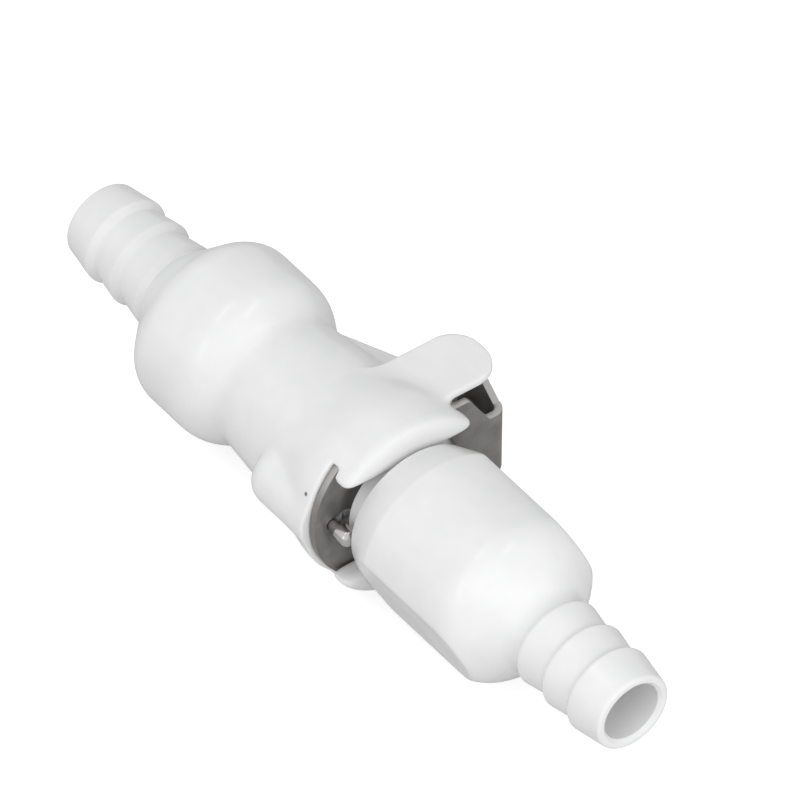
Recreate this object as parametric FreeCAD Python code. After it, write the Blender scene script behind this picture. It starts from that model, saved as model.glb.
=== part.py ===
"""Quick disconnect coupling for soft hose, coupled, with a sprung thumb latch and a valve in each half.

X runs along the flow axis from the mouth of the body barb to the mouth of the insert barb.
Y points to the thumb tab of the latch and Z is up. All sizes are in millimetres.
"""
import FreeCAD, Part
import math
import os

# Small clearances between pieces
FIT = 0.04
SLIDING_GAP = 0.06
SEAL_GAP = 0.03
CONTACT_GAP = 0.05
CUT_OVERRUN = 1.0
TINY = 1e-6

# Hose barbs, the same on both halves
BARB_BORE_RADIUS = 3.6
BARB_TIP_RADIUS = 4.75
BARB_RIDGE_RADIUS = 5.5
BARB_VALLEY_RADIUS = 4.85
BARB_ROOT_RADIUS = 5.0
BARB_FIRST_RIDGE = 4.6
BARB_PITCH = 4.4
BARB_RIDGES = 3
BARB_DROP = 0.75
BARB_CREST_ROUND = 0.45
BARB_TIP_ROUND = 0.35
BARB_MOUTH_CHAMFER = 0.4

# Bulb, neck and collar of the body, with the lengths of its parts in order along the flow axis
CREASE_LENGTH = 0.8
BULB_BACK_LENGTH = 7.4
BULB_FRONT_LENGTH = 7.3
SHOULDER_LENGTH = 3.2
NECK_LENGTH = 12.5
FLARE_LENGTH = 6.0
COLLAR_LENGTH = 1.9
BULB_RADIUS = 10.65
BULB_BACK_SLOPE = 0.95
BULB_BACK_ROUND = 2.6
BULB_FRONT_ROUND = 7.0
NECK_RADIUS = 8.35
NECK_ROUND = 3.6
FLARE_RADIUS = 9.75
FLARE_ROUND = 14.0
COLLAR_RADIUS = 11.45
COLLAR_ROUND = 5.0

# Inside of the body
BULB_WALL = 1.75
SPIGOT_WALL = 1.3
SPIGOT_LENGTH = 3.0
LEDGE_SET_IN = 2.0
LEDGE_RADIUS = 5.2
LEDGE_DEPTH = 1.8
CHAMBER_OPENING_LENGTH = 2.2
SEAT_LENGTH = 3.5
THROAT_LENGTH = 4.1
THROAT_RADIUS = 4.55
SOCKET_DEPTH = 15.5
SOCKET_RADIUS = 6.25
SOCKET_CHAMFER = 0.6

# Front lips that keep the plate and the insert, turned about axes above and below the flow axis
LIP_AXIS_OFFSET = 4.0
LIP_RADIUS = 9.5
LIP_ROOT_LENGTH = 8.5
LIP_ROOT_RADIUS = 3.8
LIP_LAP = 1.0
LIP_LENGTH = 2.9
LIP_CROWN_SET_BACK = 2.0
LIP_CROWN_DROP = 2.4
LIP_CROWN_ROUND = 2.0
LIP_EDGE_ROUND = 0.5
MOUTH_GAP = 0.35

# Boss for the lock pin
BOSS_RADIUS = 3.7
BOSS_LENGTH = 10.8
BOSS_BACK_ROUND = 2.6
BOSS_END_WALL = 1.6
BOSS_RAISE = 0.1

# Thumb guard round the latch tab
GUARD_DEPTH = 8.4
GUARD_WALL = 1.0
GUARD_MARGIN = 1.3
GUARD_REACH = 15.8
GUARD_CORNER_ROUND = 3.7
GUARD_EDGE_ROUND = 0.8
GUSSET_THICKNESS = 1.6
GUSSET_LENGTH = 16.1
GUSSET_START_Y = 8.6

# Latch sheet
SHEET = 0.9
LATCH_TRAVEL = 1.6
HOLE_GAP = 0.3
PLATE_SIDE = 0.7
PLATE_END_SET_IN = 0.55
UPPER_NOTCH_LENGTH = 2.8
UPPER_NOTCH_TO_BEND = 0.9
LOWER_NOTCH_LENGTH = 1.4
LOWER_NOTCH_TO_BEND = 3.2
NOTCH_ROUND = 0.7
TAB_SET_IN = 0.3
TAB_BEND_RADIUS = 0.8
TAB_NECK_ABOVE = 3.5
TAB_BELOW = 5.2
TAB_ABOVE = 6.9
TAB_FLARE_LENGTH = 4.0
TAB_END_GAP = 0.3
TAB_CORNER_ROUND = 1.7
KEYHOLE_CLEARANCE = 0.08

# Lock pin
PIN_HEAD_RADIUS = 1.05
PIN_NECK_RADIUS = 0.7
PIN_STEM_RADIUS = 0.6
PIN_COLLAR_RADIUS = 1.45
PIN_COLLAR_LENGTH = 1.2
PIN_SHOULDER_LENGTH = 1.3
PIN_HEAD_LENGTH = 2.1
PIN_DOME = 0.6
PIN_LIFT = 1.9
PIN_STEM_LENGTH = 3.6
PIN_SIDE_GAP = 0.55

# Insert body, with the lengths of its parts in order along the flow axis
FACE_GAP = 0.54
GRIP_LENGTH = 19.1
INSERT_TAPER_LENGTH = 4.5
INSERT_ROOT_LENGTH = 2.1
INSERT_RADIUS = 10.3
INSERT_FACE_RADIUS = 8.55
INSERT_DOME_LENGTH = 4.5
DOME_SHARE = 0.98
FLATS_ACROSS = 17.8
FLATS_TURN = 23.4
INSERT_SHOULDER_ROUND = 5.8
INSERT_ROOT_ROUND = 2.2
INSERT_LEDGE_WALL = 2.5

# Insert nose
NOSE_END_GAP = 4.8
NOSE_GAP = 0.15
NOSE_FRONT_ROUND = 1.3
RING_SECTION = 0.8
GLAND_WIDTH = 1.9
FRONT_LAND = 1.6
REAR_LAND = 1.2
GROOVE_LEAD = 0.3
GROOVE_PLAY = 1.1
GROOVE_DEPTH = 1.0
NOSE_COLLAR_STEP = 0.7
NOSE_PLUG_STEP = 0.5
NOSE_PLUG_LENGTH = 3.6
CHAMBER_STEP = 0.4
INSERT_SEAT_SET_IN = 0.4
INSERT_SEAT_RADIUS = 6.0

# Both valves
VALVE_RING_SECTION = 0.7
VALVE_STUB_ROUND = 0.6

# Insert valve
PLUNGER_RADIUS = 3.85
PLUNGER_GAP = 0.1
PLUNGER_WALL = 0.75
PLUNGER_TIP_ROUND = 0.25
PLUNGER_REACH = 0.8
INSERT_VALVE_LIFT = 1.4
INSERT_VALVE_HEAD_RADIUS = 5.5
INSERT_VALVE_HEAD_LENGTH = 2.0
INSERT_VALVE_HEAD_ROUND = 0.4
WINDOW_LENGTH = 2.4
WINDOW_WIDTH = 2.4
WINDOWS = 4
INSERT_VALVE_STUB_RADIUS = 2.6
INSERT_VALVE_STUB_LENGTH = 3.0

# Body valve
BODY_VALVE_LIFT = 3.8
BODY_VALVE_FLOW_GAP = 1.5
BODY_VALVE_FLANGE = 1.5
BODY_VALVE_RING_STEP = 1.6
BODY_VALVE_LIP_STEP = 0.4
BODY_VALVE_LIP_LENGTH = 0.7
BODY_VALVE_CONE_LENGTH = 1.2
STEM_WING_THICKNESS = 1.3
STEM_TIP_RADIUS = 3.7
BODY_VALVE_STUB_RADIUS = 3.2
BODY_VALVE_STUB_LENGTH = 4.5

# Coil springs: mean radius, wire radius and turns
WIRE_SIDES = 8
VALVE_SPRING_WIRE = 0.4
BODY_SPRING_RADIUS = 4.4
BODY_SPRING_TURNS = 4
INSERT_SPRING_RADIUS = 4.0
INSERT_SPRING_TURNS = 4
LATCH_SPRING_RADIUS = 1.8
LATCH_SPRING_WIRE = 0.25
LATCH_SPRING_TURNS = 4
LATCH_POCKET_GAP = 0.25
LATCH_POCKET_FLOOR = 1.95
PIN_SPRING_RADIUS = 1.0
PIN_SPRING_WIRE = 0.2
PIN_SPRING_TURNS = 5

# Places along the flow axis, worked out from the lengths above
LAST_RIDGE = BARB_FIRST_RIDGE + (BARB_RIDGES - 1) * BARB_PITCH
CREASE_X = LAST_RIDGE + CREASE_LENGTH
SEAM_X = CREASE_X + BULB_BACK_LENGTH
BULB_SHOULDER_X = SEAM_X + BULB_FRONT_LENGTH
NECK_X = BULB_SHOULDER_X + SHOULDER_LENGTH
FLARE_X = NECK_X + NECK_LENGTH
COLLAR_X = FLARE_X + FLARE_LENGTH
PLATE_BACK_X = COLLAR_X + COLLAR_LENGTH
PLATE_FRONT_X = PLATE_BACK_X + SHEET
COLLAR_FRONT_X = PLATE_BACK_X - SLIDING_GAP
LIP_BACK_X = PLATE_FRONT_X + SLIDING_GAP
LIP_ROOT_X = PLATE_BACK_X - LIP_ROOT_LENGTH
BOSS_BACK_X = PLATE_BACK_X - BOSS_LENGTH
GUARD_BACK_X = PLATE_BACK_X - GUARD_DEPTH
TAB_END_X = GUARD_BACK_X + GUARD_WALL + TAB_END_GAP
LATCH_SPRING_X = (TAB_END_X + PLATE_BACK_X) / 2
LEDGE_X = CREASE_X + LEDGE_SET_IN
SOCKET_FLOOR_X = PLATE_BACK_X - SOCKET_DEPTH
THROAT_X = SOCKET_FLOOR_X - THROAT_LENGTH
SEAT_X = THROAT_X - SEAT_LENGTH
BODY_VALVE_HEAD_X = SEAT_X - BODY_VALVE_LIFT
INSERT_FACE_X = LIP_BACK_X + LIP_LENGTH + FACE_GAP
INSERT_SHOULDER_X = INSERT_FACE_X + GRIP_LENGTH
INSERT_LEDGE_X = INSERT_SHOULDER_X - INSERT_LEDGE_WALL
INSERT_ROOT_X = INSERT_SHOULDER_X + INSERT_TAPER_LENGTH
OVERALL_LENGTH = INSERT_ROOT_X + INSERT_ROOT_LENGTH + LAST_RIDGE
NOSE_TIP_X = SOCKET_FLOOR_X + NOSE_END_GAP
GROOVE_X = PLATE_BACK_X - GROOVE_LEAD
FRONT_GLAND_X = NOSE_TIP_X + FRONT_LAND
REAR_GLAND_X = GROOVE_X - REAR_LAND - GLAND_WIDTH
INSERT_SEAT_X = INSERT_FACE_X + INSERT_SEAT_SET_IN
INSERT_VALVE_HEAD_X = INSERT_FACE_X + NOSE_PLUG_LENGTH + INSERT_VALVE_LIFT
VALVE_CONTACT_X = NOSE_TIP_X - PLUNGER_REACH

# Sizes across the flow axis, worked out from the sizes above
CHAMBER_RADIUS = BULB_RADIUS - BULB_WALL - SPIGOT_WALL
SPIGOT_RADIUS = CHAMBER_RADIUS + SPIGOT_WALL
BODY_VALVE_HEAD_RADIUS = CHAMBER_RADIUS - BODY_VALVE_FLOW_GAP
BODY_VALVE_HUB_RADIUS = BODY_VALVE_HEAD_RADIUS - BODY_VALVE_RING_STEP
BODY_VALVE_LIP_RADIUS = BODY_VALVE_HUB_RADIUS + BODY_VALVE_LIP_STEP
NOSE_RADIUS = SOCKET_RADIUS - NOSE_GAP
GROOVE_RADIUS = NOSE_RADIUS - GROOVE_DEPTH
NOSE_COLLAR_RADIUS = NOSE_RADIUS + NOSE_COLLAR_STEP
NOSE_PLUG_RADIUS = NOSE_COLLAR_RADIUS + NOSE_PLUG_STEP
INSERT_CHAMBER_RADIUS = NOSE_PLUG_RADIUS - CHAMBER_STEP
NOSE_BORE_RADIUS = PLUNGER_RADIUS + PLUNGER_GAP
PLUNGER_BORE_RADIUS = PLUNGER_RADIUS - PLUNGER_WALL
MOUTH_RADIUS = NOSE_COLLAR_RADIUS + MOUTH_GAP
LATCH_HOLE_RADIUS = NOSE_COLLAR_RADIUS + HOLE_GAP
PLATE_HALF_WIDTH = LATCH_HOLE_RADIUS + PLATE_SIDE
PLATE_END_RADIUS = COLLAR_RADIUS - PLATE_END_SET_IN
LIP_CHORD = PLATE_HALF_WIDTH - LIP_LAP
GUARD_HALF_HEIGHT = PLATE_HALF_WIDTH + GUARD_MARGIN
TAB_FACE_Y = GUARD_REACH - TAB_SET_IN
LATCH_POCKET_RADIUS = LATCH_SPRING_RADIUS + LATCH_SPRING_WIRE + LATCH_POCKET_GAP
LATCH_SPRING_FLOOR_Y = SOCKET_RADIUS + LATCH_POCKET_FLOOR
PIN_Y = -(NOSE_COLLAR_RADIUS + PIN_HEAD_RADIUS + PIN_SIDE_GAP)
BOSS_Y = PIN_Y + BOSS_RAISE
PIN_HOLE_RADIUS = PIN_HEAD_RADIUS + KEYHOLE_CLEARANCE
PIN_BORE_RADIUS = PIN_COLLAR_RADIUS + SLIDING_GAP

# Places of the lock pin along the flow axis
PIN_BORE_DEPTH = BOSS_LENGTH - BOSS_END_WALL
PIN_HEAD_FRONT_X = INSERT_FACE_X - CONTACT_GAP
PIN_HEAD_BACK_X = PIN_HEAD_FRONT_X - PIN_HEAD_LENGTH
PIN_COLLAR_FRONT_X = PLATE_BACK_X - PIN_LIFT - PIN_SHOULDER_LENGTH + SHEET


def flow_point(x, r):
    """Point of a profile that is turned about the flow axis."""
    return FreeCAD.Vector(x, 0, r)


def corner_round(before, corner, after):
    """Start, middle and end of the arc that rounds one corner of an outline."""
    radius = corner[2]
    if radius < TINY:
        return corner[:2], None, corner[:2]
    back = FreeCAD.Vector(before[0] - corner[0], before[1] - corner[1], 0).normalize()
    ahead = FreeCAD.Vector(after[0] - corner[0], after[1] - corner[1], 0).normalize()
    half_angle = back.getAngle(ahead) / 2
    setback = radius / math.tan(half_angle)
    to_centre = (back + ahead).normalize()
    to_arc = radius / math.sin(half_angle) - radius
    start = (corner[0] + back.x * setback, corner[1] + back.y * setback)
    middle = (corner[0] + to_centre.x * to_arc, corner[1] + to_centre.y * to_arc)
    end = (corner[0] + ahead.x * setback, corner[1] + ahead.y * setback)
    return start, middle, end


def outline(corners, place):
    """Closed face from corners (a, b, rounding radius), put in space by place(a, b)."""
    count = len(corners)
    rounds = [
        corner_round(corners[i - 1], corners[i], corners[(i + 1) % count]) for i in range(count)
    ]
    edges = []
    for i, (start, middle, end) in enumerate(rounds):
        if middle is not None:
            edges.append(Part.Arc(place(*start), place(*middle), place(*end)).toShape())
        line_start = place(*end)
        line_end = place(*rounds[(i + 1) % count][0])
        if line_start.distanceToPoint(line_end) > TINY:
            edges.append(Part.LineSegment(line_start, line_end).toShape())
    return Part.Face(Part.Wire(edges))


def turned(corners):
    """Solid turned about the flow axis from corners (x, radius, rounding radius)."""
    face = outline(corners, flow_point)
    return face.revolve(FreeCAD.Vector(0, 0, 0), FreeCAD.Vector(1, 0, 0), 360)


def rod_x(radius, start_x, end_x, y=0.0, z=0.0):
    """Cylinder along the flow axis."""
    base = FreeCAD.Vector(start_x, y, z)
    return Part.makeCylinder(radius, end_x - start_x, base, FreeCAD.Vector(1, 0, 0))


def rod_y(radius, start_y, end_y, x=0.0, z=0.0):
    """Cylinder along the thumb direction."""
    base = FreeCAD.Vector(x, start_y, z)
    return Part.makeCylinder(radius, end_y - start_y, base, FreeCAD.Vector(0, 1, 0))


def block(x_range, y_range, z_range):
    """Box between three pairs of limits."""
    lengths = [limits[1] - limits[0] for limits in (x_range, y_range, z_range)]
    corner = FreeCAD.Vector(x_range[0], y_range[0], z_range[0])
    return Part.makeBox(*lengths, corner)


def seal_ring(centre_x, ring_radius, section_radius):
    """O-ring about the flow axis."""
    centre = FreeCAD.Vector(centre_x, 0, 0)
    return Part.makeTorus(ring_radius, section_radius, centre, FreeCAD.Vector(1, 0, 0))


def coil_spring(start, direction, length, mean_radius, wire_radius, turns):
    """Compression spring standing on start, its wire drawn as a many-sided bar."""
    pitch = (length - 2 * wire_radius) / turns
    path = Part.makeHelix(pitch, pitch * turns, mean_radius)
    along_wire = FreeCAD.Vector(0, 1, pitch / (math.tau * mean_radius)).normalize()
    outwards = FreeCAD.Vector(1, 0, 0)
    across = along_wire.cross(outwards)
    points = []
    for side in range(WIRE_SIDES + 1):
        turn = math.tau * side / WIRE_SIDES
        offset = outwards * math.cos(turn) + across * math.sin(turn)
        points.append(outwards * mean_radius + offset * wire_radius)
    section = Part.makePolygon(points)
    spring = Part.Wire(path).makePipeShell([section], True, True)
    spring.translate(FreeCAD.Vector(0, 0, wire_radius))
    spring.Placement = FreeCAD.Placement(
        start, FreeCAD.Rotation(FreeCAD.Vector(0, 0, 1), direction)
    ).multiply(spring.Placement)
    return spring


def barb_corners():
    """Outer corners of a hose barb up to its last crest, as distance from the mouth, radius, rounding."""
    corners = [
        (0.0, BARB_BORE_RADIUS + BARB_MOUTH_CHAMFER, 0.0),
        (0.0, BARB_TIP_RADIUS, BARB_TIP_ROUND),
    ]
    for ridge in range(BARB_RIDGES):
        crest = BARB_FIRST_RIDGE + ridge * BARB_PITCH
        corners.append((crest, BARB_RIDGE_RADIUS, BARB_CREST_ROUND))
        if ridge < BARB_RIDGES - 1:
            corners.append((crest + BARB_DROP, BARB_VALLEY_RADIUS, 0.0))
    return corners


def make_body_barb():
    """Hose barb end of the body with the back of the bulb and the spigot that enters it."""
    bulb_corner_x = CREASE_X + (BULB_RADIUS - BARB_ROOT_RADIUS) / BULB_BACK_SLOPE
    outer = barb_corners() + [
        (CREASE_X, BARB_ROOT_RADIUS, 0.0),
        (bulb_corner_x, BULB_RADIUS, BULB_BACK_ROUND),
        (SEAM_X, BULB_RADIUS, 0.0),
        (SEAM_X, SPIGOT_RADIUS, 0.0),
        (SEAM_X + SPIGOT_LENGTH, SPIGOT_RADIUS, 0.0),
    ]
    inner = [
        (SEAM_X + SPIGOT_LENGTH, CHAMBER_RADIUS, 0.0),
        (LEDGE_X + LEDGE_DEPTH + CHAMBER_OPENING_LENGTH, CHAMBER_RADIUS, 0.0),
        (LEDGE_X + LEDGE_DEPTH, LEDGE_RADIUS, 0.0),
        (LEDGE_X, LEDGE_RADIUS, 0.0),
        (LEDGE_X, BARB_BORE_RADIUS, 0.0),
        (BARB_MOUTH_CHAMFER, BARB_BORE_RADIUS, 0.0),
    ]
    return turned(outer + inner)


def body_shell():
    """Outside of the body, turned, from the seam to the front of the collar."""
    return turned([
        (SEAM_X, 0.0, 0.0),
        (SEAM_X, BULB_RADIUS, 0.0),
        (BULB_SHOULDER_X, BULB_RADIUS, BULB_FRONT_ROUND),
        (NECK_X, NECK_RADIUS, NECK_ROUND),
        (FLARE_X, FLARE_RADIUS, FLARE_ROUND),
        (COLLAR_X, COLLAR_RADIUS, COLLAR_ROUND),
        (COLLAR_FRONT_X, COLLAR_RADIUS, 0.0),
        (COLLAR_FRONT_X, 0.0, 0.0),
    ])


def body_hollow():
    """Everything that is hollow on the flow axis inside the body."""
    chamber = turned([
        (SEAM_X - CUT_OVERRUN, 0.0, 0.0),
        (SEAM_X - CUT_OVERRUN, SPIGOT_RADIUS + FIT, 0.0),
        (SEAM_X + SPIGOT_LENGTH + FIT, SPIGOT_RADIUS + FIT, 0.0),
        (SEAM_X + SPIGOT_LENGTH + FIT, CHAMBER_RADIUS, 0.0),
        (SEAT_X, CHAMBER_RADIUS, 0.0),
        (THROAT_X, THROAT_RADIUS, 0.0),
        (SOCKET_FLOOR_X, THROAT_RADIUS, 0.0),
        (SOCKET_FLOOR_X, SOCKET_RADIUS, 0.0),
        (COLLAR_FRONT_X - SOCKET_CHAMFER, SOCKET_RADIUS, 0.0),
        (COLLAR_FRONT_X + CUT_OVERRUN, SOCKET_RADIUS + SOCKET_CHAMFER + CUT_OVERRUN, 0.0),
        (COLLAR_FRONT_X + CUT_OVERRUN, 0.0, 0.0),
    ])
    return chamber


def pin_boss():
    """Rounded boss along the side of the body for the lock pin and its spring."""
    boss = rod_x(BOSS_RADIUS, BOSS_BACK_X, COLLAR_FRONT_X, y=BOSS_Y)
    back_edges = [edge for edge in boss.Edges if abs(edge.BoundBox.XMax - BOSS_BACK_X) < TINY]
    return boss.makeFillet(BOSS_BACK_ROUND, back_edges)


def guard_section():
    """Outline of the thumb guard seen along the flow axis."""
    return [
        (0.0, -GUARD_HALF_HEIGHT, 0.0),
        (GUARD_REACH, -GUARD_HALF_HEIGHT, GUARD_EDGE_ROUND),
        (GUARD_REACH, GUARD_HALF_HEIGHT, GUARD_EDGE_ROUND),
        (0.0, GUARD_HALF_HEIGHT, 0.0),
    ]


def thumb_guard():
    """Wings above and below the tab and the wall behind it, with rounded outer corners."""
    depth = COLLAR_FRONT_X - GUARD_BACK_X

    def back_point(y, z):
        return FreeCAD.Vector(GUARD_BACK_X, y, z)

    def wall_point(y, z):
        return FreeCAD.Vector(GUARD_BACK_X + GUARD_WALL, y, z)

    def side_point(x, y):
        return FreeCAD.Vector(x, y, -GUARD_HALF_HEIGHT)

    shape = outline(guard_section(), back_point).extrude(FreeCAD.Vector(depth, 0, 0))
    room = [
        (0.0, -GUARD_HALF_HEIGHT + GUARD_WALL, 0.0),
        (GUARD_REACH + CUT_OVERRUN, -GUARD_HALF_HEIGHT + GUARD_WALL, 0.0),
        (GUARD_REACH + CUT_OVERRUN, GUARD_HALF_HEIGHT - GUARD_WALL, 0.0),
        (0.0, GUARD_HALF_HEIGHT - GUARD_WALL, 0.0),
    ]
    hollow = outline(room, wall_point).extrude(FreeCAD.Vector(depth, 0, 0))
    side_view = [
        (GUARD_BACK_X, 0.0, 0.0),
        (COLLAR_FRONT_X, 0.0, 0.0),
        (COLLAR_FRONT_X, GUARD_REACH, GUARD_CORNER_ROUND),
        (GUARD_BACK_X, GUARD_REACH, GUARD_CORNER_ROUND),
    ]
    silhouette = outline(side_view, side_point)
    bounds = silhouette.extrude(FreeCAD.Vector(0, 0, 2 * GUARD_HALF_HEIGHT))
    return shape.common(bounds).cut(hollow)


def gusset():
    """Thin rib from the bulb to the wall of the thumb guard."""
    def point(x, y):
        return FreeCAD.Vector(x, y, -GUSSET_THICKNESS / 2)

    end_x = GUARD_BACK_X + GUARD_WALL / 2
    foot_y = (SOCKET_RADIUS + NECK_RADIUS) / 2
    corners = [
        (THROAT_X, foot_y, 0.0),
        (end_x, foot_y, 0.0),
        (end_x, GUARD_REACH, GUSSET_THICKNESS),
        (end_x - GUSSET_LENGTH, GUSSET_START_Y, 0.0),
    ]
    return outline(corners, point).extrude(FreeCAD.Vector(0, 0, GUSSET_THICKNESS))


def front_lip(side):
    """One crescent lip, above (side 1) or below (side -1), with its root on the collar."""
    front_x = LIP_BACK_X + LIP_LENGTH
    crown_x = front_x - LIP_CROWN_SET_BACK
    horn = turned([
        (LIP_ROOT_X, 0.0, 0.0),
        (LIP_ROOT_X, LIP_ROOT_RADIUS, 0.0),
        (crown_x, LIP_RADIUS, LIP_CROWN_ROUND),
        (front_x, LIP_RADIUS - LIP_CROWN_DROP, LIP_EDGE_ROUND),
        (front_x, 0.0, 0.0),
    ])
    horn.translate(FreeCAD.Vector(0, 0, side * LIP_AXIS_OFFSET))
    near = side * LIP_CHORD
    far = side * (LIP_AXIS_OFFSET + LIP_RADIUS + CUT_OVERRUN)
    half_space = block(
        (LIP_ROOT_X, front_x), (-LIP_RADIUS, LIP_RADIUS), (min(near, far), max(near, far))
    )
    return horn.common(half_space)


def latch_slot():
    """Slot across the front of the body that the latch plate slides in."""
    half = PLATE_HALF_WIDTH + SLIDING_GAP
    reach = GUARD_REACH + CUT_OVERRUN
    return block((COLLAR_FRONT_X, LIP_BACK_X), (-reach, reach), (-half, half))


def make_coupling_body():
    """Main moulding of the socket half."""
    body = body_shell()
    additions = (front_lip(1), front_lip(-1), pin_boss(), thumb_guard(), gusset())
    for addition in additions:
        body = body.fuse(addition)
    mouth = rod_x(MOUTH_RADIUS, LIP_BACK_X - CUT_OVERRUN, OVERALL_LENGTH)
    pin_bore = rod_x(PIN_BORE_RADIUS, COLLAR_FRONT_X - PIN_BORE_DEPTH, INSERT_FACE_X, y=PIN_Y)
    spring_pocket = rod_y(LATCH_POCKET_RADIUS, LATCH_SPRING_FLOOR_Y, GUARD_REACH, x=LATCH_SPRING_X)
    for removal in (body_hollow(), latch_slot(), mouth, pin_bore, spring_pocket):
        body = body.cut(removal)
    return body.removeSplitter()


def plate_blank():
    """Flat part of the latch, seen along the flow axis, with its round end."""
    round_end = rod_x(PLATE_END_RADIUS, PLATE_BACK_X, PLATE_FRONT_X)
    half = PLATE_HALF_WIDTH
    round_end = round_end.common(
        block((PLATE_BACK_X, PLATE_FRONT_X), (-PLATE_END_RADIUS, 0.0), (-half, half))
    )
    bend_y = TAB_FACE_Y - SHEET - TAB_BEND_RADIUS
    lower_foot_y = bend_y - LOWER_NOTCH_TO_BEND
    upper_foot_y = bend_y - UPPER_NOTCH_TO_BEND

    def point(y, z):
        return FreeCAD.Vector(PLATE_BACK_X, y, z)

    corners = [
        (0.0, -half, 0.0),
        (lower_foot_y - LOWER_NOTCH_LENGTH, -half, NOTCH_ROUND),
        (lower_foot_y, -TAB_BELOW, NOTCH_ROUND),
        (bend_y, -TAB_BELOW, 0.0),
        (bend_y, TAB_NECK_ABOVE, 0.0),
        (upper_foot_y, TAB_NECK_ABOVE, NOTCH_ROUND),
        (upper_foot_y - UPPER_NOTCH_LENGTH, half, NOTCH_ROUND),
        (0.0, half, 0.0),
    ]
    sheet = outline(corners, point).extrude(FreeCAD.Vector(SHEET, 0, 0))
    return round_end.fuse(sheet)


def latch_bend():
    """Quarter-round bend between the plate and the thumb tab."""
    inner = TAB_BEND_RADIUS
    outer = TAB_BEND_RADIUS + SHEET
    centre_x = PLATE_FRONT_X - outer
    centre_y = TAB_FACE_Y - outer
    foot = FreeCAD.Vector(centre_x, centre_y, -TAB_BELOW)
    rings = [
        Part.makeCylinder(radius, TAB_BELOW + TAB_NECK_ABOVE, foot, FreeCAD.Vector(0, 0, 1))
        for radius in (outer, inner)
    ]
    quarter = block(
        (centre_x, centre_x + outer), (centre_y, centre_y + outer), (-TAB_BELOW, TAB_NECK_ABOVE)
    )
    return rings[0].cut(rings[1]).common(quarter)


def thumb_tab():
    """Tab that the thumb presses, seen along the thumb direction."""
    bend_x = PLATE_FRONT_X - SHEET - TAB_BEND_RADIUS

    def point(x, z):
        return FreeCAD.Vector(x, TAB_FACE_Y - SHEET, z)

    flare_x = bend_x - TAB_FLARE_LENGTH
    corners = [
        (bend_x, -TAB_BELOW, 0.0),
        (TAB_END_X, -TAB_BELOW, TAB_CORNER_ROUND),
        (TAB_END_X, TAB_ABOVE, TAB_CORNER_ROUND),
        (flare_x, TAB_ABOVE, TAB_CORNER_ROUND / 2),
        (bend_x, TAB_NECK_ABOVE, 0.0),
    ]
    return outline(corners, point).extrude(FreeCAD.Vector(0, SHEET, 0))


def make_latch():
    """Punched and bent latch sheet with its round hole and its keyhole for the lock pin."""
    sheet = plate_blank().fuse(latch_bend()).fuse(thumb_tab())
    start = PLATE_BACK_X - CUT_OVERRUN
    end = PLATE_FRONT_X + CUT_OVERRUN
    hole = rod_x(LATCH_HOLE_RADIUS, start, end, y=LATCH_TRAVEL)
    cocked_pin_y = PIN_Y + LATCH_TRAVEL
    pin_hole = rod_x(PIN_HOLE_RADIUS, start, end, y=cocked_pin_y)
    slot_half = PIN_NECK_RADIUS + KEYHOLE_CLEARANCE
    slot = block((start, end), (PIN_Y, 0.0), (-slot_half, slot_half))
    slot_end = rod_x(slot_half, start, end, y=PIN_Y)
    for removal in (hole, pin_hole, slot, slot_end):
        sheet = sheet.cut(removal)
    return sheet.removeSplitter()


def make_latch_spring():
    """Return spring between the floor of its pocket and the thumb tab."""
    length = TAB_FACE_Y - SHEET - LATCH_SPRING_FLOOR_Y - 2 * CONTACT_GAP
    start = FreeCAD.Vector(LATCH_SPRING_X, LATCH_SPRING_FLOOR_Y + CONTACT_GAP, 0)
    return coil_spring(
        start, FreeCAD.Vector(0, 1, 0), length, LATCH_SPRING_RADIUS, LATCH_SPRING_WIRE, LATCH_SPRING_TURNS
    )


def make_lock_pin():
    """Turned pin: stem inside its spring, collar, shoulder, neck in the keyhole, domed head."""
    shoulder_end = PIN_COLLAR_FRONT_X + PIN_SHOULDER_LENGTH
    collar_back = PIN_COLLAR_FRONT_X - PIN_COLLAR_LENGTH
    pin = turned([
        (collar_back - PIN_STEM_LENGTH, 0.0, 0.0),
        (collar_back - PIN_STEM_LENGTH, PIN_STEM_RADIUS, 0.0),
        (collar_back, PIN_STEM_RADIUS, 0.0),
        (collar_back, PIN_COLLAR_RADIUS, 0.0),
        (PIN_COLLAR_FRONT_X, PIN_COLLAR_RADIUS, 0.0),
        (PIN_COLLAR_FRONT_X, PIN_HEAD_RADIUS, 0.0),
        (shoulder_end, PIN_HEAD_RADIUS, 0.0),
        (shoulder_end, PIN_NECK_RADIUS, 0.0),
        (PIN_HEAD_BACK_X, PIN_NECK_RADIUS, 0.0),
        (PIN_HEAD_BACK_X, PIN_HEAD_RADIUS, 0.0),
        (PIN_HEAD_FRONT_X - PIN_DOME, PIN_HEAD_RADIUS, 0.0),
        (PIN_HEAD_FRONT_X, PIN_HEAD_RADIUS - PIN_DOME, 0.0),
        (PIN_HEAD_FRONT_X, 0.0, 0.0),
    ])
    pin.translate(FreeCAD.Vector(0, PIN_Y, 0))
    return pin


def make_lock_pin_spring():
    """Spring behind the collar of the lock pin."""
    floor_x = COLLAR_FRONT_X - PIN_BORE_DEPTH + CONTACT_GAP
    length = PIN_COLLAR_FRONT_X - PIN_COLLAR_LENGTH - CONTACT_GAP - floor_x
    start = FreeCAD.Vector(floor_x, PIN_Y, 0)
    return coil_spring(
        start, FreeCAD.Vector(1, 0, 0), length, PIN_SPRING_RADIUS, PIN_SPRING_WIRE, PIN_SPRING_TURNS
    )


def stem_wings(radius, start_x, end_x):
    """Two crossing bars that make the four ribs of the body valve's stem."""
    half = STEM_WING_THICKNESS / 2
    flat = block((start_x, end_x), (-radius, radius), (-half, half))
    upright = block((start_x, end_x), (-half, half), (-radius, radius))
    return flat.fuse(upright).common(rod_x(radius, start_x, end_x))


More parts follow.
